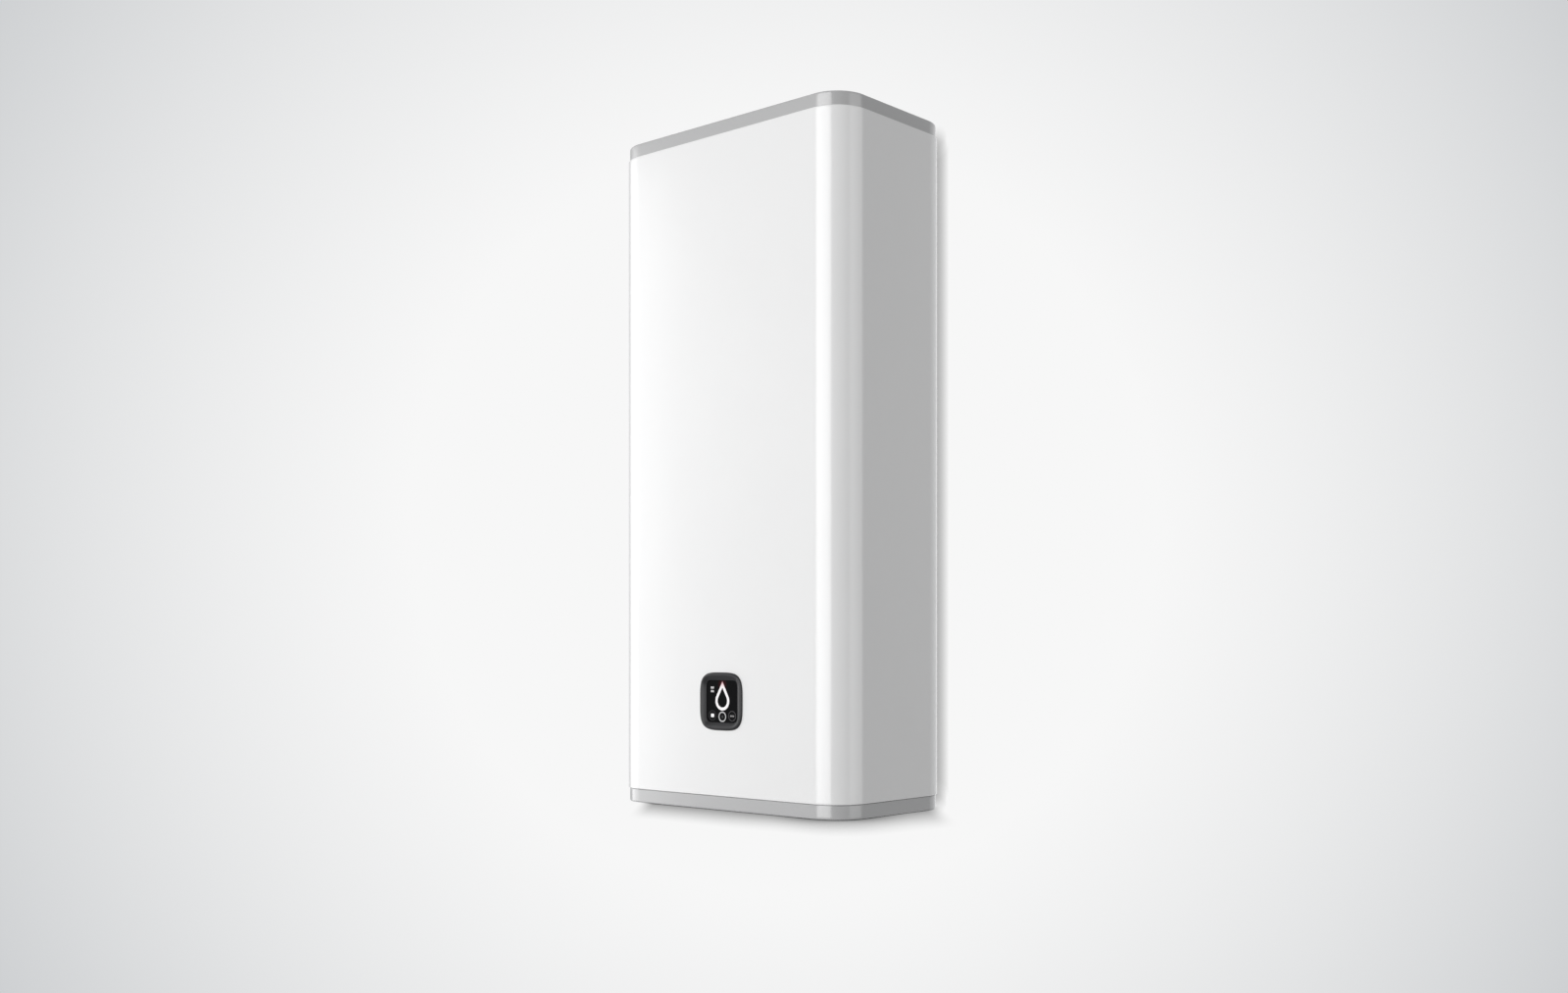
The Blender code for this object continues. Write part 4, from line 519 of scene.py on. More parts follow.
def buildTopCap():
    # a shallow lid: ledge on the jacket's hem, wall, round top edge and a flat top, hollow below
    low = case["high"] + caps["gap"]
    top = case["height"]
    outer = case["lip"] + caps["gap"]
    inner = outer + caps["wall"]
    inside = caps["inset"] + caps["wall"]
    edge = caps["edge"]
    inset = caps["inset"]
    flat = caps["flat"]
    stack = [(inside + caps["roofFlat"], top - caps["wall"]), (inside, top - caps["wall"]),
             (inside, low + caps["wall"]), (inner, low + caps["wall"]), (inner, low - caps["skirt"]),
             (outer, low - caps["skirt"]), (outer, low), (inset + hairline, low), (inset, low + hairline),
             (inset, low + flat), (inset, top - edge - flat)]
    stack += arcPoints(inset + edge, top - edge, edge, 180, 90, 8).tolist()
    stack += [(inset + edge + flat, top), (inset + edge + caps["inFlat"], top)]
    gridPiece("top_cap_shell", caseRings(stack), capGrey, node="top_cap", slot="cap_grey")


def roundTool(name, x, y, low, high, radius, steps=48):
    # an upright cylinder at (x, y) between two heights
    return toolShape(name, turnedGrid([(radius, low), (radius, high)], steps, (x, y)))


def buildBottomCap():
    # a dish that holds the jacket from below: round lower edge, raised floor, skirt up inside the jacket
    high = case["low"] - caps["gap"]
    outer = case["lip"] + caps["gap"]
    inner = outer + caps["wall"]
    inside = caps["inset"] + caps["wall"]
    edge = caps["edge"]
    inset = caps["inset"]
    floor, flat, inFlat = caps["floor"], caps["flat"], caps["inFlat"]
    floorTop = floor + caps["wall"]
    seam = high - caps["seam"]
    stack = [(inside + inFlat, floor), (inside + flat, floor), (inside, floor - flat), (inside, 0.0005)]
    stack += [(inside - hairline, 0), (inset + edge, 0)]
    stack += arcPoints(inset + edge, edge, edge, 270, 180, 8).tolist()[1:]
    stack += [(inset, edge + flat), (inset, seam - flat), (inset, seam - hairline), (inset + hairline, seam),
              (outer, seam), (outer, high + caps["skirt"]), (inner, high + caps["skirt"]), (inner, floorTop),
              (inner + inFlat, floorTop)]
    piece = gridPiece("bottom_cap_shell", caseRings(stack), capGrey, node="bottom_cap", slot="cap_grey")
    low, top = floor - caps["through"], floorTop + caps["through"]
    tools = [roundTool(name, x, y, low, top, radius, steps)
             for name, (x, y, radius, steps) in caps["ways"].items()]
    half = caps["serviceHalf"]
    tools.append(boxTool("service way", (-half, caps["serviceFront"], low), (half, caps["serviceBack"], top)))
    cutAway(piece, tools)


buildJacket()
buildTopCap()
buildBottomCap()
print("case built")


def panelRings(stack, steps=160):
    # rings of bowed squares from (half width, power, sink behind the jacket's face)
    return np.array([sunk(bowedSquare(half, power, steps), sink) + panelCentre
                     for half, power, sink in stack])


def buildBezel():
    # a dished frame: quarter-ellipse flank, round crest, slope down to the rim over the window,
    # collar through the jacket
    p = panel
    foot = -p["back"]
    stack = [(p["bezelHalf"] - p["footEdge"], p["bezelPower"], foot),
             (p["bezelHalf"], p["bezelPower"], foot - p["footRise"])]
    across = p["bezelHalf"] - p["crestHalf"]
    rise = p["rise"] - p["back"]
    for turn in np.radians(np.linspace(8, 90, 12)):
        power = p["bezelPower"] + (p["crestPower"] - p["bezelPower"]) * (1 - math.cos(turn))
        stack.append((p["crestHalf"] + across * math.cos(turn), power, foot - rise * math.sin(turn)))
    for share in np.linspace(0.04, 1, 12):
        # the slope falls as share^slopePower, level at the crest and steepest at the rim
        half = p["crestHalf"] + (p["rimHalf"] - p["crestHalf"]) * share
        power = p["crestPower"] + (p["rimPower"] - p["crestPower"]) * share ** p["squarePower"]
        sink = -p["rise"] + (p["rise"] + p["rimSink"]) * share ** p["slopePower"]
        stack.append((half, power, sink))
    back, reach = p["rimSink"] + p["rimThick"], p["collarReach"]
    stack.append((p["rimHalf"] - p["rimEdge"], p["rimPower"], p["rimSink"] + hairline))
    for half, sink in ((p["rimHalf"], back), (p["collarInner"], back), (p["collarInner"], reach),
                       (p["collarOuter"], reach), (p["collarOuter"], foot)):
        stack.append((half, p["rimPower"], sink))
    gridPiece("bezel_frame", panelRings(stack), bezelGrey, wrapRows=True, node="panel_bezel",
              slot="bezel_grey")


def dropOutline(radius):
    # a circle with two tangents that meet above it
    angle = math.radians(drop["halfAngle"])
    turn = np.linspace(math.pi - angle, math.pi * 2 + angle, drop["steps"] + 1)
    arc = np.column_stack([radius * np.cos(turn), radius * np.sin(turn)])
    top = np.array([[0, radius / math.sin(angle)]])
    flankRight = arc[-1] + (top - arc[-1]) * np.linspace(0, 1, 9)[1:-1, None]
    flankLeft = top + (arc[0] - top) * np.linspace(0, 1, 9)[1:-1, None]
    return np.vstack([arc, flankRight, top, flankLeft]) + [0, drop["lift"]]


def dropRing(grow, section):
    # section pairs (share across the stroke, sink): share 0 is the outer edge and 1 the inner edge
    outer = dropOutline(drop["radius"] + grow)
    inner = dropOutline(drop["radius"] - drop["stroke"] - grow)
    return np.array([sunk(outer + (inner - outer) * share, sink) + panelCentre for share, sink in section])


def boxRings(halfX, halfZ, radius, sinks, centre):
    # rings of a rectangle with round corners, one for each (sink, inset)
    turns = np.linspace(0, math.pi / 2, 7)
    rings = []
    for sink, inset in sinks:
        r = max(radius - inset, radius / 4)
        middle = np.array([halfX, halfZ]) - inset - r
        line = [middle * side + r * np.column_stack([np.cos(turn), np.sin(turn)]) for turn, side in
                zip(turns + math.pi / 2 * np.arange(4)[:, None], ((1, 1), (-1, 1), (-1, -1), (1, -1)))]
        rings.append(sunk(np.vstack(line) + centre, sink) + panelCentre)
    return np.array(rings)


def markPlaces():
    # (x, z) of the two marks' middles, half the pitch below and above the height between them
    return [(-marks["side"], marks["lift"] + sign * marks["pitch"] / 2) for sign in (-1, 1)]


def buildWindow():
    # the plate behind the rim, with openings for the keys and marks and a groove for the drop light
    p = panel
    sink, back = p["windowSink"], p["windowSink"] + p["windowThick"]
    half, power, over = p["windowHalf"], p["rimPower"], 2 * overcut
    stack = [(half - hairline, power, sink), (half, power, sink + hairline), (half, power, back)]
    piece = gridPiece("window_plate", panelRings(stack), windowBlack, node="panel_window", slot="gloss_black")
    tools = []
    keyWay = buttons["radius"] + buttons["room"]
    for name, centre in buttons["places"].items():
        grid = turnedGrid([(keyWay, -back - over), (keyWay, -sink + over)], 70, centre, "Y") + panelCentre
        tools.append(toolShape("key way " + name, grid))
    room, floor = marks["room"], sink + drop["depth"] + drop["under"]
    for number, centre in enumerate(markPlaces()):
        sinks = [(sink - over, 0), (back + over, 0)]
        grid = boxRings(marks["length"] / 2 + room, marks["height"] / 2 + room, marks["round"] + room, sinks,
                        centre)
        tools.append(toolShape(f"mark way {number}", grid))
    piece = cutAway(piece, tools)
    groove = dropRing(drop["room"], [(0, sink - over), (1, sink - over), (1, floor), (0, floor)])
    cutAway(piece, [toolShape("drop way", groove, wrapRows=True)])


def buildLights():
    # the drop-shaped ring with a slightly crowned face, and the two marks on their shared bar
    face = panel["windowSink"] - panel["proud"]
    floor = panel["windowSink"] + drop["depth"]
    edge, brim = drop["rimShare"], face + 0.0001
    section = [(0, floor), (0, face + hairline), (edge, brim)]
    section += [(share, brim - drop["crown"] * math.sin(math.pi * share))
                for share in np.linspace(0.12, 0.88, 9)]
    section += [(1 - edge, brim), (1, face + hairline), (1, floor)]
    gridPiece("drop_light", dropRing(0, section), opalWhite, wrapRows=True, node="drop_light_guide",
              slot="light_guide")
    barFront, barBack = buttons["rimSink"], buttons["rimSink"] + marks["base"]
    halfX = marks["length"] / 2 + marks["margin"]
    halfZ = marks["pitch"] / 2 + marks["height"] / 2 + marks["margin"]
    centre = (-marks["side"], marks["lift"])
    shells = [closedShell(boxRings(halfX, halfZ, marks["barRound"], [(barFront, 0), (barBack, 0)], centre))]
    sinks = [(barFront + 0.0001, 0), (face + marks["padEdge"], 0), (face, marks["padEdge"])]
    for centre in markPlaces():
        pad = boxRings(marks["length"] / 2, marks["height"] / 2, marks["round"], sinks, centre)
        shells.append(closedShell(pad))
    points, faces, count = [], [], 0
    for shellPoints, shellFaces in shells:
        faces += [[index + count for index in corners] for corners in shellFaces]
        points.append(shellPoints)
        count += len(shellPoints)
    makePiece("indicator_marks", np.vstack(points), faces, opalMark, node="indicator_light_guide",
              slot="light_guide")


def buttonProfile(faceRadius, step):
    # (radius, height towards the viewer) from the middle of a slightly dished face over
    # its round edge to the stem
    b = buttons
    edge = b["edge"]
    radii = np.linspace(0, faceRadius - edge, 10)
    face = [(r, -b["dish"] * (1 - (r / (faceRadius - edge)) ** 2)) for r in radii[1:]]
    corner = arcPoints(faceRadius - edge, -edge, edge, 90, 0, 5).tolist()[1:]
    rim = b["rimSink"] - panel["windowSink"] + panel["proud"]
    rimBack, rimRadius = rim + b["rimThick"], b["radius"] + b["rim"]
    shoulder = [(faceRadius, -step), (b["radius"], -step)] if step > 0 else []
    stem = [(b["stem"], -rimBack), (b["stem"], -rimBack - b["stemLength"])]
    return face + corner + shoulder + [(b["radius"], -rim), (rimRadius, -rim), (rimRadius, -rimBack)] + stem


def buildButtons():
    # three round keys, each on its own body; the centre one has a step in which its silver ring sits
    face = np.array([0, panel["windowSink"] - panel["proud"], 0])
    keyMaterial = {"left": leftKey, "centre": centreKey, "right": rightKey}
    for name, centre in buttons["places"].items():
        profile = buttonProfile(buttons["radius"], 0)
        if name == "centre":
            profile = buttonProfile(buttons["ringStep"], buttons["ringDepth"] + hairline)
        grid = turnedGrid(profile, buttons["steps"], centre, "Y") + panelCentre + face
        gridPiece(name + "_key", grid, keyMaterial[name], body=name + "_button", node=name + "_button",
                  slot="button_black")
    outer, inner, depth = buttons["radius"], buttons["ringStep"] + 0.0001, buttons["ringDepth"]
    section = [(outer, -depth), (outer, -hairline)]
    section += arcPoints(outer - hairline, -hairline, hairline, 0, 90, 4).tolist()[1:]
    section += arcPoints(inner + hairline, -hairline, hairline, 90, 180, 4).tolist() + [(inner, -depth)]
    grid = turnedGrid(section, buttons["steps"], buttons["places"]["centre"], "Y") + panelCentre + face
    gridPiece("centre_key_ring", grid, ringSilver, wrapRows=True, body="centre_button",
              node="centre_button_ring", slot="silver_trim")


buildBezel()
buildWindow()
buildLights()
buildButtons()
print("panel built")


mounting = {
    "heights": {"upper": 0.930, "lower": 0.220}, "wallPlane": 0.152,
    "length": 0.300, "sheet": 0.0025, "bend": 0.0032,
    "depth": 0.0148, "webHalf": 0.030, "wingHalf": 0.048, "cornerCut": 0.006, "endFlat": 0.002,
    "keyholeSide": 0.075, "entry": 0.009, "slot": 0.0052, "drop": 0.010, "rise": 0.013,
    "boltSide": 0.1115, "boltLift": 0.039, "boltHole": 0.0043, "keyholeCut": (-0.006, 0.002),
    "across": 0.013, "head": 0.0053, "shank": 0.004, "boltLength": 0.018,
}


def foldedSheet(corners, radius, thick):
    # the closed section of a folded sheet: its middle line turns each corner on an arc, and the two faces lie
    # half a thickness to either side of it along the normals
    corners = np.asarray(corners, float)
    line = [corners[0]]
    for before, corner, after in zip(corners, corners[1:], corners[2:]):
        arrive = (corner - before) / np.linalg.norm(corner - before)
        leave = (after - corner) / np.linalg.norm(after - corner)
        share = np.linspace(0, math.pi / 2, 8)[:, None]
        line += list(corner - radius * arrive + radius * np.sin(share) * arrive
                     + radius * (1 - np.cos(share)) * leave)
    line = np.array(line + [corners[-1]])
    along = np.gradient(line, axis=0)
    along[1:-1] = line[2:] - line[:-2]
    along /= np.linalg.norm(along, axis=1)[:, None]
    normal = np.column_stack([-along[:, 1], along[:, 0]])
    return np.vstack([line + normal * thick / 2, (line - normal * thick / 2)[::-1]])


def keyholeOutline():
    # a round entry and a slot that rises from it to a half circle
    m = mounting
    meet = math.acos(m["slot"] / m["entry"])
    turn = np.linspace(math.pi - meet, 2 * math.pi + meet, 29)
    entry = np.column_stack([m["entry"] * np.cos(turn), m["entry"] * np.sin(turn) - m["drop"]])
    turn = np.linspace(0, math.pi, 15)
    slot = np.column_stack([m["slot"] * np.cos(turn), m["rise"] + m["slot"] * np.sin(turn)])
    return np.vstack([entry, slot])


def buildBrackets():
    # a hat section of pressed sheet carried from end to end, with keyholes in its web and
    # bolt holes in its upper wing
    m = mounting
    half = m["sheet"] / 2
    wing, leg = m["depth"] - half, m["webHalf"] - half
    section = foldedSheet([(-wing, -m["wingHalf"]), (-wing, -leg), (-half, -leg), (-half, leg), (-wing, leg),
                           (-wing, m["wingHalf"])], m["bend"] - half, m["sheet"])
    end, wall, through = m["length"] / 2, m["wallPlane"], 4 * overcut
    for place, height in m["heights"].items():
        rows = []
        for x in (-end, -end + m["endFlat"], end - m["endFlat"], end):
            rows.append(np.column_stack([np.full(len(section), x), section[:, 0] + wall,
                                         section[:, 1] + height]))
        piece = gridPiece(place + "_bracket", np.array(rows), galvanised, node=place + "_wall_bracket",
                          slot="galvanised")
        tools = []
        for side in (-1, 1):
            outline = keyholeOutline() + [side * m["keyholeSide"], height]
            tools.append(toolShape("keyhole", np.array([sunk(outline, wall + y) for y in m["keyholeCut"]])))
            boltPlace = (side * m["boltSide"], height + m["boltLift"])
            hole = turnedGrid([(m["boltHole"], through), (m["boltHole"], -through)], 32, boltPlace, "Y")
            tools.append(toolShape("bolt way", hole + [0, wall - wing, 0]))
            for up in (-1, 1):
                # the wings' corners are cropped at 45 degrees, as a press leaves them
                x, z, c, past = side * end, height + up * m["wingHalf"], m["cornerCut"], 2 * overcut
                crop = np.array([(x + side * past, z - up * c), (x - side * c, z + up * past),
                                 (x + side * past, z + up * past)])
                tools.append(toolShape("crop",
                                       np.array([sunk(crop, wall - wing + y) for y in (-through, through)])))
        cutAway(piece, tools)


def hexRadius(across, turn):
    # distance of a hexagon's edge from its middle, in each direction
    return across / 2 / np.cos((turn + math.pi / 6) % (math.pi / 3) - math.pi / 6)


hexagon = {
    # shares of half the width across flats
    "washer": 0.95, "face": 0.94, "middle": 0.45,
    "edge": 0.0001, "base": 0.0005, "baseInset": 0.0002, "tip": 0.001, "tipInset": 0.0008,
}


def hexHead(across, head, shank, length, steps=72):
    # rings (radius, height) of a bolt: the head's corners are cut by a 30 degree cone, so the
    # outer face's edge falls by (radius - across / 2) tan 30 below its middle, and the shank
    # stands on the head's washer face
    turn = np.linspace(0, tau, steps, endpoint=False)
    corner = hexRadius(across, turn)
    ones = np.ones(steps)
    h, half = hexagon, across / 2
    fall = (corner - half) * math.tan(math.pi / 6)
    washer = half * h["washer"]
    rings = [
        (half * h["middle"] * ones, -head), (half * h["face"] * ones, -head),
        (corner, -head + fall + h["edge"]), (corner, -h["base"]), (corner - h["baseInset"], -hairline),
        (washer * ones, -hairline), (washer * ones, 0), (shank * ones, 0),
        (shank * ones, length - h["tip"]), ((shank - h["tipInset"]) * ones, length),
    ]
    return turn, np.array([ring[0] for ring in rings]), np.array([ring[1] * ones for ring in rings])


def boltPiece(name, size, place, axis, node):
    # size is (across, head, shank, length); along Z the shank rises, along Y it points to the front
    turn, radius, height = hexHead(*size)
    a, b = radius * np.cos(turn), radius * np.sin(turn)
    grid = np.stack([a, b, height], axis=-1) if axis == "Z" else np.stack([a, -height, b], axis=-1)
    gridPiece(name, grid + np.array(place), zinc, node=node, slot="zinc_steel", sharpAngle=25)


def buildBracketBolts():
    # each stands on its bracket's upper wing and points to the tank's boss
    m = mounting
    size = (m["across"], m["head"], m["shank"], m["boltLength"])
    seat = m["wallPlane"] - m["depth"] + m["sheet"] + hairline
    for place, height in m["heights"].items():
        for side, sign in sides.items():
            boltPlace = (sign * m["boltSide"], seat, height + m["boltLift"])
            boltPiece(f"{place}_hex_bolt_{side}", size, boltPlace, "Y", f"{place}_bolt_{side}")


cover = {
    "length": 0.344, "width": 0.110, "corner": 0.012,
    "thick": 0.0025, "middle": -0.005, "top": 0.0177, "edge": 0.0009,
    "screwSide": 0.165, "screwHole": 0.0017, "headRadius": 0.0035,
    "head": 0.0016, "shank": 0.0014, "screwLength": 0.011,
    "recess": 0.0021, "recessWide": 0.0008, "recessTaper": 0.55, "pitch": 0.0007, "chamfer": 0.0012,
    "underFlat": 0.004, "underMargin": 0.0015, "topFlat": 0.003, "brink": 0.0004,
    "crown": 0.65, "recessFloor": 0.25, "recessOver": 0.0006, "threadStart": 0.0006, "tip": 0.6,
}


def roundedOutline(width, depth, radius):
    # a rectangle with round corners, from its back left corner round the front
    turns = np.linspace(0, math.pi / 2, 11)
    out = []
    for number, (sx, sy) in enumerate(((-1, 1), (-1, -1), (1, -1), (1, 1))):
        turn = turns + math.pi / 2 * (number + 1)
        middle = np.array([sx * (width / 2 - radius), sy * (depth / 2 - radius)])
        out.append(middle + radius * np.column_stack([np.cos(turn), np.sin(turn)]))
    return np.vstack(out)


def buildCover():
    # a plate with a quarter-round lower edge, its screw holes chamfered
    c = cover
    top, edge, hole, brink = c["top"], c["edge"], c["screwHole"], c["brink"]
    bottom = top - c["thick"]
    stack = [(c["underFlat"], bottom), (edge + c["underMargin"], bottom)]
    stack += arcPoints(edge, bottom + edge, edge, 270, 180, 5).tolist()
    stack += [(0, top - brink), (hairline, top), (c["topFlat"], top)]
    rows = []
    for inset, height in stack:
        line = roundedOutline(c["length"] - 2 * inset, c["width"] - 2 * inset, c["corner"] - inset)
        rows.append(lifted(line + [0, c["middle"]], height))
    piece = gridPiece("service_plate", np.array(rows), capGrey, node="service_cover", slot="cap_grey")
    profile = [(hole + c["chamfer"], bottom - overcut), (hole + brink, bottom), (hole, bottom + brink),
               (hole, top + overcut)]
    places = [(sign * c["screwSide"], c["middle"]) for sign in (-1, 1)]
    cutAway(piece, [toolShape("screw way", turnedGrid(profile, 32, place)) for place in places])


def buildCoverScrews():
    # pan heads with a domed crown and a tapered cross recess, and a coarse thread drawn as rings
    c = cover
    seat = c["top"] - c["thick"] - hairline
    r, h, shank, slit = c["headRadius"], c["head"], c["shank"], c["recessWide"] / 2
    turn = np.linspace(0.12, math.pi / 2, 8)
    crown = [(r * math.sin(t), seat - h * (1 - c["crown"]) - h * c["crown"] * math.cos(t)) for t in turn]
    first, end = seat + c["threadStart"], seat + c["screwLength"]
    thread = [(shank - hairline * (step % 2), first + step * c["pitch"] / 2) for step in range(24)]
    profile = crown + [(r, seat), (shank, seat)] + thread + [(shank * c["tip"], end), (0.0002, end + shank)]
    square = np.array([(-1, -1), (1, -1), (1, 1), (-1, 1)])
    for side, sign in sides.items():
        place = (sign * c["screwSide"], c["middle"])
        piece = gridPiece("cover_screw_" + side, turnedGrid(profile, 40, place), zinc,
                          node="service_screw_" + side, slot="zinc_steel")
        tools = []
        for halves in ((c["recess"], slit), (slit, c["recess"])):
            rows = []
            for share, height in ((1.0, seat - h - c["recessOver"]),
                                  (c["recessTaper"], seat - h * c["recessFloor"])):
                rows.append(lifted(square * np.maximum(np.array(halves) * share, slit) + place, height))
            tools.append(toolShape("recess", np.array(rows)))
        cutAway(piece, tools)


pipes = {
    "side": 0.050, "back": 0.068, "radius": 0.0105, "end": 0.003,
    "threadTop": 0.0175, "pitch": 0.001814, "threadDepth": 0.00116,
    "coldBore": 0.0078, "coldTop": 0.160, "hotBore": 0.0070,
    "riser": 0.0085, "riserStep": 0.165, "riserTop": 1.012,
    "collar": 0.0155, "collarLow": 0.0127, "collarHigh": 0.0177, "ribs": 36, "ribDepth": 0.00045,
    "rim": 0.0004, "steps": 64, "rowsPerPitch": 12, "chamfer": 0.8, "threadEnd": 0.0002,
    # a collar's edges as (inset from its radius, share of the ribs' depth, distance from its end)
    "lowEdge": [(0.0011, 0, 0), (0.0006, 0.3, 0.0003), (0.0002, 1, 0.0009), (0, 1, 0.0013)],
    "highEdge": [(0, 1, 0.0007), (0.0005, 0.3, 0)],
}


def threadedPipe(upper, bore, top):
    # rows down the outside, up the bore. In the thread the radius is R - d (1 - cos(2 pi (z / pitch - turn /
    # 2 pi))) / 2, the rounded pipe thread's form, with its depth d growing over one turn at either end
    q = pipes
    end, rim = q["end"], q["rim"]
    turn = np.linspace(0, tau, q["steps"], endpoint=False)
    count = int((q["threadTop"] - end) / q["pitch"] * q["rowsPerPitch"])
    z = np.linspace(q["threadTop"], end + q["threadEnd"], count)[:, None]
    phase = z / q["pitch"] - turn[None, :] / tau
    run = np.clip((q["threadTop"] - z) / q["pitch"], 0, 1)
    chamfer = np.clip(1 - (z - end) / (q["chamfer"] * q["pitch"]), 0, 1) * q["threadDepth"]
    threaded = q["radius"] - np.maximum(q["threadDepth"] * run * (1 - np.cos(tau * phase)) / 2, chamfer)
    mouth = q["radius"] - q["threadDepth"] - hairline
    upper = np.array(upper)
    lower = np.array([(mouth, end), (bore + rim, end), (bore, end + rim), (bore, top)])
    plain = np.ones(q["steps"])
    r = np.vstack([upper[:, :1] * plain, threaded, lower[:, :1] * plain])
    h = np.vstack([upper[:, 1:] * plain, z * plain, lower[:, 1:] * plain])
    return np.stack([r * np.cos(turn), r * np.sin(turn), h], axis=-1)


def buildPipes():
    # the cold stub and the hot riser, and the ribbed collars that mark them blue and red
    q = pipes
    cold = threadedPipe([(q["radius"], q["coldTop"])], q["coldBore"], q["coldTop"])
    gridPiece("cold_threaded_pipe", cold + [q["side"], q["back"], 0], tubeSteel, wrapRows=True,
              node="cold_inlet_pipe", slot="pipe_steel")
    step = q["riserStep"]
    upper = [(q["riser"], q["riserTop"]), (q["riser"], step), (q["radius"], step - 0.001)]
    hot = threadedPipe(upper, q["hotBore"], q["riserTop"])
    gridPiece("hot_threaded_riser", hot + [-q["side"], q["back"], 0], tubeSteel, wrapRows=True,
              node="hot_outlet_pipe", slot="pipe_steel")
    # the collars' ribs: the rim's radius dips by (1 + cos(ribs x turn))^2 / 4 of the ribs' depth
    turn = np.linspace(0, tau, q["ribs"] * 8, endpoint=False)
    dip = q["ribDepth"] * (1 + np.cos(q["ribs"] * turn)) ** 2 / 4
    low, high, inner, outer = q["collarLow"], q["collarHigh"], q["radius"] + hairline, q["collar"]
    section = [(inner + hairline, 0, low)]
    section += [(outer - inset, share, low + rise) for inset, share, rise in q["lowEdge"]]
    section += [(outer - inset, share, high - fall) for inset, share, fall in q["highEdge"]]
    section += [(inner, 0, high), (inner, 0, low + hairline)]
    rows = []
    for radius, share, height in section:
        r = radius - dip * share
        rows.append(lifted(np.column_stack([r * np.cos(turn), r * np.sin(turn)]), height))
    for name, sign, material, slot in (("cold_inlet", 1, blueMoulded, "blue_plastic"),
                                       ("hot_outlet", -1, redMoulded, "red_plastic")):
        gridPiece(name + "_collar", np.array(rows) + [sign * q["side"], q["back"], 0], material,
                  wrapRows=True, node=name + "_ring", slot=slot)


gland = {
    "side": 0.135, "back": 0.104, "seat": 0.0177, "low": 0.0077,
    "across": 0.01732, "shank": 0.0078, "top": 0.0305,
    "bore": 0.0047, "lip": 0.0008, "dome": 0.003, "flutes": 18, "fluteDepth": 0.0004, "hexagon": 0.0035,
    "pitch": 0.0015, "threadDepth": 0.0005, "steps": 144,
    "play": 0.0002, "groove": 0.0006, "corner": 0.0005, "threadFrom": 0.0008, "threadUntil": 0.001,
}


def buildGland():
    # from its mouth: the bore's round lip, a domed nut with flutes, a groove, the hexagon with its corners
    # chamfered, the shank with its fine thread, and the bore
    g = gland
    turn = np.linspace(0, tau, g["steps"], endpoint=False)
    ones = np.ones(g["steps"])
    low, top, bore, shank, lip = g["low"], g["top"], g["bore"], g["shank"], g["bore"] + g["lip"]
    corner = hexRadius(g["across"], turn)
    flute = g["fluteDepth"] * (1 + np.cos(g["flutes"] * turn)) / 2
    play, groove, edge = g["play"], g["groove"], g["corner"]
    nut = g["across"] / 2 - play
    hexLow, hexHigh = g["seat"] - g["hexagon"], g["seat"]
    rows = [(bore + play, low), (lip, low)]
    for angle in np.radians(np.linspace(20, 90, 6)):
        fluted = flute * (math.sin(angle) > 0.95)
        rows.append((lip + (nut - lip) * math.sin(angle) - fluted, low + g["dome"] * (1 - math.cos(angle))))
    rows += [(nut - flute, hexLow - groove), (nut - groove, hexLow - edge), (nut - groove, hexLow)]
    rows += [(np.minimum(corner, nut + play), hexLow), (corner, hexLow + edge), (corner, hexHigh - play)]
    rows += [(corner - play, hexHigh), (shank, hexHigh)]
    height = hexHigh + g["threadFrom"]
    while height < top - g["threadUntil"]:
        rows += [(shank, height), (shank - g["threadDepth"], height + g["pitch"] * 0.4),
                 (shank, height + g["pitch"] * 0.8)]
        height += g["pitch"]
    rows += [(shank - groove, top), (bore + hairline, top), (bore, top - hairline), (bore, low + hairline)]
    r = np.array([row[0] * ones for row in rows])
    h = np.array([row[1] for row in rows])[:, None] * ones
    grid = np.stack([r * np.cos(turn), r * np.sin(turn), h], axis=-1) + [g["side"], g["back"], 0]
    gridPiece("cable_entry_gland", grid, fittingBlack, wrapRows=True, node="cable_gland",
              slot="black_plastic")


buildBrackets()
buildBracketBolts()
buildCover()
buildCoverScrews()
buildPipes()
buildGland()
print("fittings built")


tank = {
    "side": 0.1115, "radius": 0.110, "wall": 0.002, "dome": 0.045, "low": 0.155, "high": 1.000,
    "neck": 0.0385, "bore": 0.0345, "ring": 0.054, "ringLow": 0.0915, "ringThick": 0.006, "edge": 0.0006,
    "boss": 0.010, "bossBore": 0.0043, "bossEnd": 0.1358, "bossDepth": 0.018,
    "seamHalf": 0.0022, "seamDepth": 0.0005, "seamShift": 0.004,
    "room": 0.0003, "domeSteps": 20, "steps": 112,
    # a turned shape ends in a tiny disc of the pole's radius
    "pipeWayTop": 0.146, "bridgeWay": 0.060, "pole": 0.0005,
}


def domeLine(radius, height, seam, up, endRadius):
    # (R cos t, seam +- H sin t), a quarter of an ellipse, from the seam to the radius where it ends
    turn = np.linspace(0, math.acos(endRadius / radius), tank["domeSteps"] + 1)
    return np.column_stack([radius * np.cos(turn), seam + up * height * np.sin(turn)]).tolist()


def tankLine(grow):
    # the tank's outside from its top to its neck in two parts, moved out by the room that the foam leaves
    t = tank
    top = domeLine(t["radius"] + grow, t["dome"] + grow, t["high"], 1, t["pole"])[::-1]
    bottom = domeLine(t["radius"] + grow, t["dome"] + grow, t["low"], -1, t["neck"] + grow)
    return top, bottom


def bossRod(name, place, radius, back, front):
    # a round shape towards the viewer at a bracket bolt's place (x, z)
    return toolShape(name, turnedGrid([(radius, -back), (radius, -front)], 40, place, "Y"))


def bossPlaces(sign):
    # (x, z) of the bracket bolts on one side
    return [(sign * mounting["boltSide"], height + mounting["boltLift"])
            for height in mounting["heights"].values()]


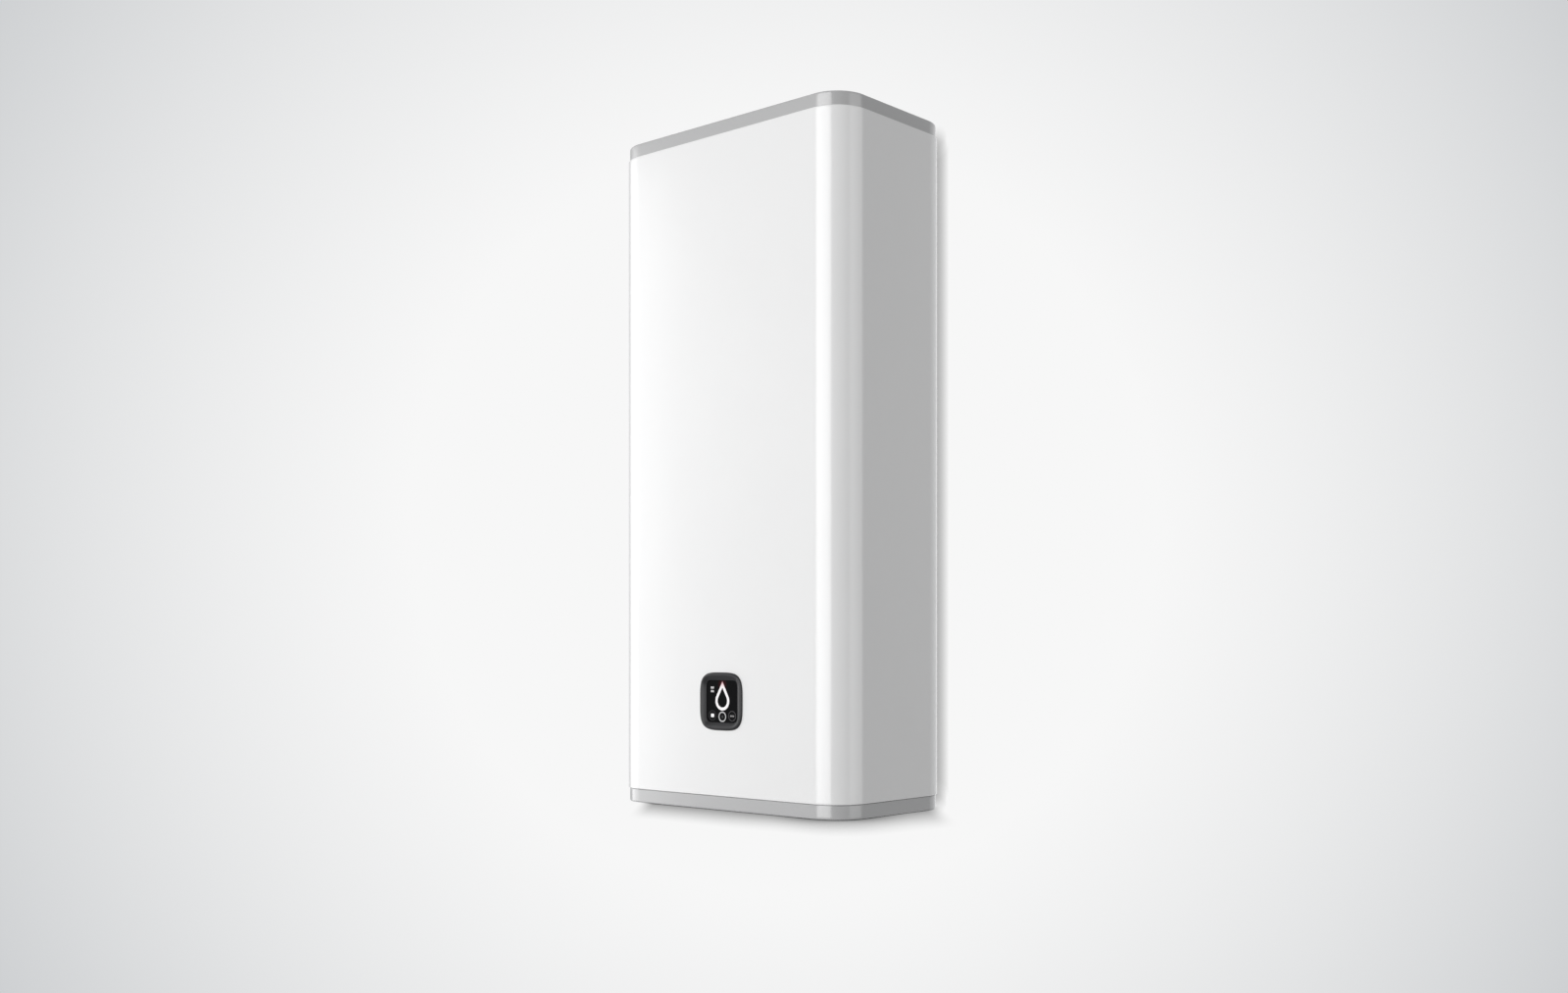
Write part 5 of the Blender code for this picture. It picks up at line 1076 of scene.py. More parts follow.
def brokenEdges(radius, high, low, edge):
    # a turned part's rim between two heights, both its edges broken
    return [(radius - edge, high), (radius, high - edge), (radius, low + edge), (radius - edge, low)]


def pipeWays(sign, low, high):
    # the ways of the water pipe that stands in a tank and of the bridge between the tanks
    t, q, b = tank, pipes, bridge
    pipeWay = roundTool("pipe way", sign * q["side"], q["back"], low, t["pipeWayTop"],
                        q["radius"] + t["room"])
    start = t["high"] + t["dome"] / 2
    return [pipeWay, roundTool("bridge way", sign * b["side"], 0, start, high, b["radius"] + t["room"])]


def flangeBolts(sign):
    # four bolts on their circle, at 45 degrees and every quarter from there
    turn = tau * (np.arange(4) + 0.5) / 4
    return np.column_stack([sign * tank["side"] + flange["circle"] / 2 * np.cos(turn),
                            flange["circle"] / 2 * np.sin(turn)])


def buildTanks():
    # a shell with two elliptic domes; at each seam the shell is drawn in by seamDepth where
    # the joggled dome slides in
    t = tank
    ringTop, inner = t["ringLow"] + t["ringThick"], t["radius"] - t["wall"]
    for name, sign in sides.items():
        x = sign * t["side"]
        top, bottom = tankLine(0)
        seams = []
        for middle in (t["high"] - t["seamShift"], t["low"] + t["seamShift"]):
            reach, drawn = t["seamHalf"] + t["seamDepth"], t["radius"] - t["seamDepth"]
            seams += [(t["radius"], middle + reach), (drawn, middle + t["seamHalf"])]
            seams += [(drawn, middle - t["seamHalf"]), (t["radius"], middle - reach)]
        neck = [(t["neck"], ringTop), *brokenEdges(t["ring"], ringTop, t["ringLow"], t["edge"]),
                (t["bore"], t["ringLow"])]
        lower = domeLine(inner, t["dome"] - t["wall"], t["low"], -1, t["bore"])[::-1]
        upper = domeLine(inner, t["dome"] - t["wall"], t["high"], 1, t["pole"])
        profile = top + seams + bottom + neck + lower + upper
        piece = gridPiece(name + "_tank_shell", turnedGrid(profile, t["steps"], (x, 0)), enamel,
                          node=name + "_tank", slot="enamel")
        start = t["radius"] - t["wall"] / 2 - t["boss"] ** 2 / t["radius"] / 2
        end, deep = t["bossEnd"], t["bossEnd"] - t["bossDepth"]
        bosses = [bossRod("boss", place, t["boss"], end, start) for place in bossPlaces(sign)]
        tools = [bossRod("boss bore", place, t["bossBore"], end + overcut, deep)
                 for place in bossPlaces(sign)]
        low, high = t["ringLow"] - overcut, ringTop + overcut
        tools += [roundTool("ring hole", bx, by, low, high, flange["hole"], 32)
                  for bx, by in flangeBolts(sign)]
        cutAway(piece, tools + pipeWays(sign, foamBlock["low"], t["high"] + t["bridgeWay"]), joined=bosses)


bridge = {
    "side": 0.070, "radius": 0.0090, "bore": 0.0078, "bend": 0.0175, "top": 1.068, "reach": 0.012,
    "dipLow": 0.200, "dipWall": 0.0015, "dipEngaged": 0.012, "dipRoom": 0.0003, "steps": 48,
}
diffuser = {"wall": 0.0015, "slot": 0.006, "room": 0.0003, "under": 0.012, "over": 0.018, "edge": 0.001}
flange = {
    "circle": 0.093, "gasket": 0.003, "gasketEdge": 0.0004, "plateTop": 0.0879, "plateThick": 0.005,
    "groove": 0.0385, "grooveHalf": 0.0014, "grooveDepth": 0.0006,
    "across": 0.010, "head": 0.004, "shank": 0.003, "hole": 0.0033,
    "legHalf": 0.016, "legShift": -0.004, "legRadius": 0.004, "elementTop": 0.440, "drop": 0.008,
    "pin": 0.0018, "pinLength": 0.0045, "bead": 0.0030, "beadLength": 0.0022, "pinTip": 0.0006,
    "shoulder": 0.0005,
    "anode": 0.0105, "stud": 0.004, "anodeShift": 0.019, "anodeTop": 0.560, "anodeRound": 0.006,
    "anodeNeck": 0.0015, "studEnd": 0.0008,
    "sensor": 0.006, "sensorBore": 0.0045, "sensorShift": -0.020, "sensorTop": 0.380, "sensorEdge": 0.0004,
}
foamBlock = {
    "inset": 0.0011, "low": 0.100, "high": 1.050, "back": 0.1358, "pocket": 0.0400, "pocketDepth": 0.0243,
    "channelHalf": 0.006, "channelFront": 0.023, "channelBack": 0.034, "bridgeWay": 0.068,
    "beyond": (0.3, 0.2, 1.2),  # a corner past the block's own
}


def buildFoam():
    # the moulded block between the case and the tanks, with the ways that the pipes,
    # bosses, panel and lead need
    f, t = foamBlock, tank
    block = gridPiece("foam_block", caseRings([(f["inset"], f["low"]), (f["inset"], f["high"])]), foam,
                      node="insulation_foam", slot="foam")
    x, y, z = f["beyond"]
    tools = [boxTool("back cut", (-x, f["back"], 0), (x, y, z))]
    low = f["low"] - overcut
    for sign in sides.values():
        top, bottom = tankLine(t["room"])
        space = top + bottom + [(t["neck"] + t["room"], low)]
        tools.append(toolShape("tank space", turnedGrid(space, t["steps"], (sign * t["side"], 0))))
        tools += pipeWays(sign, low, t["high"] + f["bridgeWay"])
        radius, start = t["boss"] + t["room"], t["radius"] / 2
        tools += [bossRod("boss way", place, radius, t["bossEnd"], start) for place in bossPlaces(sign)]
    pocket = [(f["pocket"], panel["rimPower"], sink) for sink in (-overcut, f["pocketDepth"])]
    tools.append(toolShape("panel pocket", panelRings(pocket)))
    front, half = panel["front"], f["channelHalf"]
    corner = (half, front + f["channelBack"], panel["height"])
    tools.append(boxTool("lead channel", (-half, front + f["channelFront"], low), corner))
    cutAway(block, tools)


def rodRings(path, steps):
    # rings round a path in a plane y = constant: rows (x, y, z, heading, radius), each ring p + r (cos t n +
    # sin t Y), with n square to the heading
    x, y, z, heading, radius = (np.array(column)[:, None] for column in zip(*path))
    turn = np.linspace(0, tau, steps, endpoint=False)
    out, across = radius * np.cos(turn), radius * np.sin(turn)
    return np.stack([x - out * np.sin(heading), y + across, z + out * np.cos(heading)], axis=-1)


def elementPath(x):
    # up one leg, half a turn and down the other; each leg ends in a ceramic bead and a terminal pin
    g = flange
    low = g["plateTop"] - g["plateThick"] - g["drop"]
    bead, sleeve = low + g["pinLength"], low + g["pinLength"] + g["beadLength"]
    tip, shoulder = g["pinTip"], g["shoulder"]
    leg = [(low, g["pin"] - tip), (low + tip, g["pin"]), (bead, g["pin"]), (bead, g["bead"]),
           (sleeve, g["bead"])]
    leg += [(sleeve, g["legRadius"] - shoulder), (sleeve + shoulder, g["legRadius"])]
    path = [(x - g["legHalf"], g["legShift"], z, math.pi / 2, r) for z, r in leg]
    bend = g["elementTop"] - g["legHalf"]
    for turn in np.linspace(math.pi, 0, 25):
        path.append((x + g["legHalf"] * math.cos(turn), g["legShift"], bend + g["legHalf"] * math.sin(turn),
                     turn - math.pi / 2, g["legRadius"]))
    return path + [(x + g["legHalf"], g["legShift"], z, -math.pi / 2, r) for z, r in leg[::-1]]


def buildFlanges():
    # under each neck: gasket, plate, element, anode, sensor tube and four hexagon bolts
    g, t = flange, tank
    top, pole = g["plateTop"], t["pole"]
    bottom = top - g["plateThick"]
    end = bottom - g["drop"]
    for name, sign in sides.items():
        x = sign * t["side"]
        bolts = flangeBolts(sign)
        low, high = top + hairline, top + hairline + g["gasket"]
        profile = brokenEdges(t["ring"], high, low, g["gasketEdge"]) + [(t["bore"], low), (t["bore"], high)]
        seal = gridPiece(name + "_ring_gasket", turnedGrid(profile, 96, (x, 0)), gasketRubber, wrapRows=True,
                         node=name + "_flange_gasket", slot="gasket_rubber")
        cutAway(seal, [roundTool("bolt hole", bx, by, low - overcut, high + overcut, g["hole"], 36)
                       for bx, by in bolts])
        outer, inner, deep = g["groove"] + g["grooveHalf"], g["groove"] - g["grooveHalf"], g["grooveDepth"]
        profile = [(pole, top), *brokenEdges(t["ring"], top, bottom, t["edge"]), (outer, bottom),
                   (outer - deep, bottom + deep), (inner + deep, bottom + deep), (inner, bottom),
                   (pole, bottom)]
        plate = gridPiece(name + "_neck_plate", turnedGrid(profile, 96, (x, 0)), enamel,
                          node=name + "_flange_plate", slot="flange_steel")
        ways = [(bx, by, g["hole"]) for bx, by in bolts]
        ways += [(x + side * g["legHalf"], g["legShift"], g["legRadius"] + hairline) for side in (-1, 1)]
        ways += [(x, g["anodeShift"], g["stud"] + hairline), (x, g["sensorShift"], g["sensor"] + hairline)]
        cutAway(plate, [roundTool("way", wx, wy, bottom - overcut, top + overcut, radius, 36)
                        for wx, wy, radius in ways])
        gridPiece(name + "_hairpin_element", rodRings(elementPath(x), 28), sheath,
                  node=name + "_heating_element", slot="element_sheath")
        tip, foot, neck, studEnd = g["anodeRound"], top + hairline, g["anodeNeck"], g["studEnd"]
        rod = [(pole, g["anodeTop"])]
        rod += arcPoints(g["anode"] - tip, g["anodeTop"] - tip, tip, 88, 0, 8).tolist()
        rod += [(g["anode"], foot + neck), (g["anode"] - neck, foot), (g["stud"], foot),
                (g["stud"], end + studEnd)]
        rod += [(g["stud"] - studEnd, end), (pole, end)]
        gridPiece(name + "_magnesium_rod", turnedGrid(rod, 48, (x, g["anodeShift"])), magnesium,
                  node=name + "_anode", slot="anode_metal")
        radius, bore, edge, high = g["sensor"], g["sensorBore"], g["sensorEdge"], g["sensorTop"]
        wall = radius - bore
        outside = [(pole, high)] + arcPoints(0, high - radius, radius, 84, 0, 10).tolist()
        inside = arcPoints(0, high - radius, bore, 0, 84, 8).tolist() + [(pole, high - wall)]
        mouth = [(radius, bottom - wall + edge), (radius - edge, bottom - wall), (bore, bottom - wall)]
        gridPiece(name + "_sensor_pocket", turnedGrid(outside + mouth + inside, 40, (x, g["sensorShift"])),
                  tubeSteel, node=name + "_sensor_tube", slot="pipe_steel")
        size = (g["across"], g["head"], g["shank"], t["ringLow"] + t["ringThick"] - bottom)
        for number, (bx, by) in enumerate(bolts, 1):
            place = (bx, by, bottom - hairline)
            boltPiece(f"{name}_flange_screw_{number}", size, place, "Z", f"{name}_flange_bolt_{number}")


def buildBridge():
    # the pipe from the right tank's dome over to the left one's, bent through two quarter turns, with the dip
    # tube below it, and the slotted cup that spreads the cold water
    b, t, pole = bridge, tank, tank["pole"]
    dome = t["high"] + t["dome"] * math.sqrt(1 - ((t["side"] - b["side"]) / t["radius"]) ** 2)
    low = dome - b["reach"]
    path = [(-b["side"], 0, low, math.pi / 2)]
    for turn in np.linspace(math.pi, math.pi / 2, 13):
        x, z = -b["side"] + b["bend"] * (1 + math.cos(turn)), b["top"] - b["bend"] * (1 - math.sin(turn))
        path.append((x, 0, z, turn - math.pi / 2))
    path += [(-x, y, z, -heading) for x, y, z, heading in path[::-1]]
    outside = rodRings([(*row, b["radius"]) for row in path], b["steps"])
    grid = np.vstack([outside, rodRings([(*row, b["bore"]) for row in path[::-1]], b["steps"])])
    gridPiece("bridge_pipe", grid, tubeSteel, wrapRows=True, node="transfer_pipe", slot="pipe_steel")
    outer, high, low = b["bore"] - b["dipRoom"], low + b["dipEngaged"], b["dipLow"]
    inner = outer - b["dipWall"]
    tube = [(outer, high), (outer, low + hairline), (outer - hairline, low), (inner + hairline, low)]
    tube += [(inner, low + hairline), (inner, high)]
    gridPiece("dip_tube", turnedGrid(tube, 40, (-b["side"], 0)), whiteMoulded, wrapRows=True,
              node="transfer_dip_tube", slot="white_plastic")
    q, d = pipes, diffuser
    wall, edge = d["wall"], d["edge"]
    inner = q["radius"] + d["room"]
    outer, low, end = inner + wall, q["coldTop"] - d["under"], q["coldTop"] + d["over"]
    cup = [(pole, end), (outer - edge, end), (outer, end - edge), (outer, low + hairline),
           (outer - hairline, low)]
    cup += [(inner, low), (inner, end - wall), (pole, end - wall)]
    piece = gridPiece("inlet_diffuser", turnedGrid(cup, 64, (q["side"], q["back"])), whiteMoulded,
                      node="cold_inlet_diffuser", slot="white_plastic")
    tools, past, half = [], outer + overcut, d["slot"] / 2
    for dx, dy in ((past, half), (half, past)):
        corner = (q["side"] - dx, q["back"] - dy, q["coldTop"] + wall)
        tools.append(boxTool("slot", corner, (q["side"] + dx, q["back"] + dy, end - 2 * wall)))
    cutAway(piece, tools)


buildTanks()
buildFoam()
buildFlanges()
buildBridge()
print("tanks and flanges built")


# all stand on the dish's floor
blocks = {"low": 0.0208, "edge": 0.0004, "corner": 0.0015, "smallCorner": 0.001}
powerBoard = {
    "tray": (0.132, 0.056, 0.026), "middle": -0.100, "wall": 0.002,
    "post": 0.0025, "postSide": 0.059, "postBack": 0.021,
    "low": 0.0278, "thick": 0.0016, "halves": (0.0637, 0.0257), "edge": 0.0001,
    "relay": (0.022, 0.016, 0.014), "relaySide": 0.033, "relayCorner": 0.0008,
}


def blockRings(size, place, low, corner, edge, top=True):
    # a block with round upright corners whose long edges are broken by a small chamfer
    width, depth, height = size
    stack = [(edge, low), (0, low + edge)] + ([(0, low + height - edge), (edge, low + height)] if top
                                              else [(0, low + height)])
    rings = []
    for inset, z in stack:
        outline = roundedOutline(width - 2 * inset, depth - 2 * inset,
                                 max(corner - inset, corner / 3)) + place
        rings.append(lifted(outline, z))
    return np.array(rings)


def buildPowerBoard():
    # an open tray with four posts, the board on them and a relay for each tank's element
    s, low, corner, edge = powerBoard, blocks["low"], blocks["corner"], blocks["edge"]
    (width, depth, height), wall, place = s["tray"], s["wall"], (0, s["middle"])
    outer = blockRings(s["tray"], place, low, corner * 2, edge)
    hollow = (width - 2 * wall, depth - 2 * wall, height - wall)
    inner = blockRings(hollow, place, low + wall, corner, edge, top=False)[::-1]
    tray = gridPiece("board_tray", np.vstack([outer, inner]), whiteMoulded, node="power_board_tray",
                     slot="white_plastic")
    corners = [(a * s["postSide"], s["middle"] + b * s["postBack"]) for a in (-1, 1) for b in (-1, 1)]
    bottom, top = low + wall / 2, s["low"] - hairline
    cutAway(tray, [], joined=[roundTool("post", x, y, bottom, top, s["post"], 28) for x, y in corners])
    (halfX, halfY), thick = s["halves"], s["thick"]
    rings = blockRings((2 * halfX, 2 * halfY, thick), place, s["low"], blocks["smallCorner"], s["edge"])
    board = gridPiece("relay_board", rings, laminate, node="power_board", slot="laminate")
    top, (long, across, tall) = s["low"] + thick, s["relay"]
    relays = []
    for side in (-1, 1):
        place = (side * s["relaySide"], s["middle"])
        rings = blockRings((long, across, tall + thick / 2), place, top - thick / 2, s["relayCorner"], edge)
        relays.append(toolShape("relay", rings))
    cutAway(board, [], joined=relays)


safety = {
    "box": (0.040, 0.030, 0.034), "middle": 0.083, "bore": 0.0025, "depth": 0.010,
    "head": 0.0045, "headRound": 0.0007, "crown": 0.0001,
    "stem": 0.0022, "stemEnd": 0.0004, "from": 0.0023, "to": 0.0058,
}
terminals = {"box": (0.042, 0.020, 0.020), "place": (0.135, 0.072), "way": 0.0033}


def buildSafetyParts():
    # the cut-out's box and its reset button, which slides in the bore
    s, low = safety, blocks["low"]
    depth, height = s["box"][1:]
    front, centre = s["middle"] - depth / 2, (0, low + height / 2)
    rings = blockRings(s["box"], (0, s["middle"]), low, blocks["corner"], blocks["edge"])
    box = gridPiece("cutout_box", rings, fittingBlack, node="safety_cutout", slot="black_plastic")
    bore = turnedGrid([(s["bore"], -front - s["depth"]), (s["bore"], overcut - front)], 36, centre, "Y")
    cutAway(box, [toolShape("reset bore", bore)])
    head, stem, low, high, pole = s["head"], s["stem"], s["from"], s["to"], tank["pole"]
    end = low - s["depth"]
    profile = [(pole, high - 2 * s["crown"]), (head * 0.55, high - s["crown"])]
    profile += arcPoints(head - s["headRound"], high - s["headRound"], s["headRound"], 90, 0, 6).tolist()
    profile += [(head, low + hairline), (head - hairline, low), (stem, low), (stem, end + s["stemEnd"])]
    profile += [(stem - s["stemEnd"], end), (pole, end)]
    grid = turnedGrid([(radius, rise - front) for radius, rise in profile], 48, centre, "Y")
    gridPiece("reset_knob", grid, redMoulded, body="reset_button", node="reset_button", slot="red_plastic")


def buildTerminals():
    # the block where the mains cable is clamped, with a screw's way over each pole
    s, (x, y) = terminals, terminals["place"]
    length, height = s["box"][0], s["box"][2]
    rings = blockRings(s["box"], (x, y), blocks["low"], blocks["smallCorner"], blocks["edge"])
    block = gridPiece("cable_terminals", rings, whiteMoulded, node="terminal_block", slot="white_plastic")
    high = blocks["low"] + height
    ways = [roundTool("screw way", x + pole * length / 3, y, high - height / 2, high + overcut, s["way"], 32)
            for pole in (-1, 0, 1)]
    cutAway(block, ways)


display = {
    "front": 0.0085, "thick": 0.0016, "edge": 0.0001,
    "switchHalf": 0.003, "switchCorner": 0.0004, "switchFace": 0.0078,
    "switchEdge": 0.0002, "plungerFace": 0.0073, "plunger": 0.0017,
}
housing = {
    "half": 0.0397, "wall": 0.0024, "rim": 0.0011, "depth": 0.024, "round": 0.0012, "fillet": 0.0008,
    "post": 0.003, "postSpread": 0.024, "leadHole": 0.004, "leadDrop": 0.020,
}


def buildDisplay():
    # the board behind the window, with a push switch under each button
    s, half, power = display, panel["windowHalf"], panel["rimPower"]
    edge, lip = s["edge"], s["switchEdge"]
    front, back = s["front"], s["front"] + s["thick"]
    stack = [(half - edge, power, front), (half, power, front + edge), (half, power, back - edge),
             (half - edge, power, back)]
    board = gridPiece("switch_board", panelRings(stack, 96), laminate, node="display_board", slot="laminate")
    parts = []
    for place in buttons["places"].values():
        sinks = [(s["switchFace"], lip), (s["switchFace"] + lip, 0), (front + s["thick"] / 2, 0)]
        parts.append(toolShape("switch", boxRings(s["switchHalf"], s["switchHalf"], s["switchCorner"], sinks,
                                                  place)))
        face, radius = s["plungerFace"], s["plunger"]
        line = [(radius, -front - s["thick"] / 4), (radius, -face - lip), (radius - lip, -face)]
        parts.append(toolShape("plunger", turnedGrid(line, 28, place, "Y") + panelCentre))
    cutAway(board, [], joined=parts)


def buildHousing():
    # the tray clipped round the bezel's collar, with posts for the board and a hole for its lead
    s, power = housing, panel["rimPower"]
    outer, inner, rim, deep = s["half"], s["half"] - s["wall"], s["rim"], s["depth"]
    floor, radius, fillet = deep - s["wall"], s["round"], s["fillet"]
    stack = [(inner - fillet, floor), (inner - fillet / 4, floor - fillet / 4), (inner, floor - fillet),
             (inner, rim + hairline)]
    stack += [(inner + hairline, rim), (outer - hairline, rim), (outer, rim + hairline),
              (outer, deep - radius)]
    for turn in np.radians((22.5, 45, 67.5, 90)):
        stack.append((outer - radius * (1 - math.cos(turn)), deep - radius * (1 - math.sin(turn))))
    rings = panelRings([(half, power, sink) for half, sink in stack], 128)
    piece = gridPiece("panel_tray", rings, fittingBlack, node="panel_housing", slot="black_plastic")
    back = display["front"] + display["thick"] + hairline
    line = [(s["post"], -floor - s["wall"] / 2), (s["post"], -back)]
    spread = [(a * s["postSpread"], b * s["postSpread"]) for a in (-1, 1) for b in (-1, 1)]
    posts = [toolShape("post", turnedGrid(line, 32, place, "Y") + panelCentre) for place in spread]
    line = [(s["leadHole"], -deep - overcut), (s["leadHole"], overcut - floor)]
    hole = turnedGrid(line, 32, (0, -s["leadDrop"]), "Y") + panelCentre
    cutAway(piece, [toolShape("lead hole", hole)], joined=posts)


wiring = {
    "lead": 0.0022, "leadBend": 0.005, "loom": 0.0028,
    "straight": 0.3, "perSpan": 8, "twist": 150.0, "lobes": 3,
    "waist": 0.84, "steps": 36, "endShare": 0.8,
}


def smoothLine(route):
    # a Catmull-Rom curve through the route, 0.5 (2b + (c - a) t + (2a - 5b + 4c - d) t^2 + (3b - a - 3c + d)
    # t^3), straight at its ends
    route = np.asarray(route, float)
    share = wiring["straight"]
    first, last = route[0] + share * (route[1] - route[0]), route[-1] + share * (route[-2] - route[-1])
    route = np.vstack([route[0], first, route[1:-1], last, route[-1]])
    ends = np.vstack([2 * route[0] - route[1], route, 2 * route[-1] - route[-2]])
    a, b, c, d = (ends[i:len(ends) - 3 + i, None] for i in range(4))
    t = (np.arange(wiring["perSpan"]) / wiring["perSpan"])[None, :, None]
    curve = (2 * b + (c - a) * t + (2 * a - 5 * b + 4 * c - d) * t ** 2
             + (3 * b - a - 3 * c + d) * t ** 3) / 2
    return np.vstack([curve.reshape(-1, 3), route[-1]])


def sweptRings(line, radius, across, lobes=0):
    # rings square to the line: p + r (cos t A + sin t (T x A)), with A the part of across square to the
    # heading T; for a twisted bundle r shrinks to its waist between the lobes, |cos(lobes / 2 (t + twist
    # s))|, s being the length so far
    heading = np.gradient(line, axis=0)
    heading /= np.linalg.norm(heading, axis=1, keepdims=True)
    first = across - (heading @ across)[:, None] * heading
    first /= np.linalg.norm(first, axis=1, keepdims=True)
    second = np.cross(heading, first)
    turn = np.linspace(0, tau, wiring["steps"], endpoint=False)
    length = np.concatenate([[0], np.cumsum(np.linalg.norm(np.diff(line, axis=0), axis=1))])
    size = np.full((len(line), wiring["steps"]), float(radius))
    if lobes:
        waves = np.abs(np.cos(lobes / 2 * (turn[None] + wiring["twist"] * length[:, None])))
        size *= wiring["waist"] + (1 - wiring["waist"]) * waves
    cosine, sine = np.cos(turn)[None, :, None], np.sin(turn)[None, :, None]
    rings = line[:, None] + size[..., None] * (cosine * first[:, None] + sine * second[:, None])
    ends = [line[i] + wiring["endShare"] * (rings[i] - line[i]) for i in (0, -1)]
    return np.vstack([ends[:1], rings, ends[1:]])


def buildWiring():
    # the display's lead down the foam's channel, and a twisted loom from the power board
    # to each element's outer leg
    w, g, p, front = wiring, flange, powerBoard, panel["front"]
    floor = front + housing["depth"]
    back = floor + w["leadBend"]
    start = front + display["front"] + display["thick"] + hairline
    height, top, low = panel["height"] - housing["leadDrop"], p["low"] + p["thick"], foamBlock["low"]
    route = [(0, start, height), (0, floor - housing["wall"], height), (0, back, height - w["leadBend"]),
             (0, back, low), (0, back, (low + top) / 2), (0, back, top + hairline)]
    rings = sweptRings(smoothLine(route), w["lead"], np.array([1.0, 0, 0]))
    gridPiece("display_cable", rings, cableSheath, node="display_lead", slot="cable")
    bottom = g["plateTop"] - g["plateThick"] - g["drop"] - hairline
    lift = blocks["low"] - hairline + p["tray"][2] + 3 * w["loom"]
    for name, sign in sides.items():
        x0, x1 = sign * (p["tray"][0] / 2 - p["relay"][1] / 2), sign * (tank["side"] + g["legHalf"])
        y0, y1 = p["middle"], g["legShift"]
        route = [(x0, y0, top + hairline), (x0, y0, lift - w["loom"]), ((x0 + x1) / 2, y0 / 2, lift)]
        route += [(x1, y1, (lift + bottom) / 2), (x1, y1, bottom)]
        rings = sweptRings(smoothLine(route), w["loom"], np.array([y1 - y0, x0 - x1, 0]), w["lobes"])
        gridPiece(name + "_twisted_loom", rings, cableSheath, node=name + "_wiring_loom", slot="cable")


rear = {"half": 0.185, "front": 0.1361, "back": 0.1369, "low": 0.0236, "high": 1.0672, "edge": 0.0001}


def buildRearSheet():
    # the flat galvanised sheet between the wrap's return flanges, its cut edges slightly
    # broken, with the bolts' ways
    s, front, back = rear, rear["front"], rear["back"]
    rings = []
    for inset, y in ((s["edge"], front), (0, front + s["edge"]), (0, back - s["edge"]), (s["edge"], back)):
        half, low, high = s["half"] - inset, s["low"] + inset, s["high"] - inset
        rings.append(sunk(np.array([(-half, low), (half, low), (half, high), (-half, high)]), y))
    piece = gridPiece("rear_sheet", np.array(rings), galvanised, node="rear_panel", slot="galvanised")
    tools = []
    for sign in sides.values():
        tools += [bossRod("bolt way", place, mounting["boltHole"], back + overcut, front - overcut)
                  for place in bossPlaces(sign)]
    cutAway(piece, tools)


buildPowerBoard()
buildSafetyParts()
buildTerminals()
buildDisplay()
buildHousing()
buildWiring()
buildRearSheet()
print("boards, wiring and rear sheet built")


stage = {
    "floorHeight": -1.93, "floorRadius": 2.4, "floorFadeFrom": 0.5,
    "floorFadeTo": 2.2, "floorColour": "#F0F1F2",
    "nearColour": "#F7F7F7", "farColour": "#CED0D2", "ambient": 0.15, "mirrored": 0.65,
    "sightRise": 0.07, "paleUntil": 0.977, "greyFrom": 0.870,  # cosines of the angle off the line of sight
    "wallGap": 0.0008, "wallReach": 0.12, "wallShade": 0.026, "wallPower": 1.15,
    "underGap": 0.0006, "underReach": 0.30, "underShade": 0.165, "underPower": 1.35,
    "underBack": (-0.03, 0.0), "underLeft": (0.305, 0.335), "underRight": (0.130, 0.165),
    "cornerFromLeft": (-0.12, -0.02), "cornerFromRight": (-0.10, 0.0), "cornerGrowth": (1.25, 1.75),
}
lamps = {
    # name: (degrees round the heater from its front, distance, height, width, tall, watts)
    "key softbox": (0, 3.0, 0.05, 2.65, 2.9, 78),
    "left softbox": (-66, 2.6, -0.35, 1.9, 2.4, 30),
    "right softbox": (103, 2.5, -0.05, 2.0, 2.6, 17.6),
    "rear fill": (180, 2.6, 0.2, 3.6, 3.6, 17),
}


def flatMesh(name, points):
    # one flat face at the height 0, from its outline's (x, y)
    mesh = bpy.data.meshes.new(name)
    mesh.from_pydata(lifted(points, 0.0).tolist(), [], [list(range(len(points)))])
    sheetObject = bpy.data.objects.new(name, mesh)
    bpy.context.scene.collection.objects.link(sheetObject)
    return sheetObject


def bareMaterial(name, sheet):
    # a material with an empty surface on a sheet of the stage
    material = bpy.data.materials.new(name)
    material.use_nodes = True
    tree = material.node_tree
    tree.nodes.remove(tree.nodes["Principled BSDF"])
    sheet.data.materials.append(material)
    return tree, tree.nodes["Material Output"].inputs["Surface"]


def buildFloor():
    # a pale disc a metre below the heater, as deep as a real floor lies, that takes its shadow; it clears
    # with the distance from its middle, and from below
    turn = np.linspace(0, tau, 96, endpoint=False)
    floor = flatMesh("floor", stage["floorRadius"] * np.column_stack([np.cos(turn), np.sin(turn)]))
    floor.location = (0.0, toWorld[1], stage["floorHeight"])
    tree, surface = bareMaterial("pale studio floor", floor)
    place = addNode(tree, "TexCoord").outputs["Object"]
    reach = addNode(tree, "VectorMath", {0: place}, operation="LENGTH").outputs["Value"]
    span = {"Value": reach, "From Min": stage["floorFadeFrom"], "From Max": stage["floorFadeTo"]}
    fade = addNode(tree, "MapRange", span, interpolation_type="SMOOTHSTEP").outputs["Result"]
    behind = addNode(tree, "NewGeometry").outputs["Backfacing"]
    hidden = addNode(tree, "Math", {0: fade, 1: behind}, operation="MAXIMUM").outputs[0]
    diffuse = addNode(tree, "BsdfDiffuse", {"Color": toLinear(stage["floorColour"])})
    clear = addNode(tree, "BsdfTransparent")
    mix = addNode(tree, "MixShader", {0: hidden, 1: diffuse.outputs[0], 2: clear.outputs[0]})
    tree.links.new(mix.outputs[0], surface)


def fadeAlong(tree, position, direction, fadeFrom, fadeTo):
    # from 0 to 1 as position . direction runs from one value to another
    along = addNode(tree, "VectorMath", {0: position, 1: direction}, operation="DOT_PRODUCT").outputs["Value"]
    span = {"Value": along, "From Min": fadeFrom, "From Max": fadeTo}
    return addNode(tree, "MapRange", span, interpolation_type="SMOOTHSTEP").outputs["Result"]


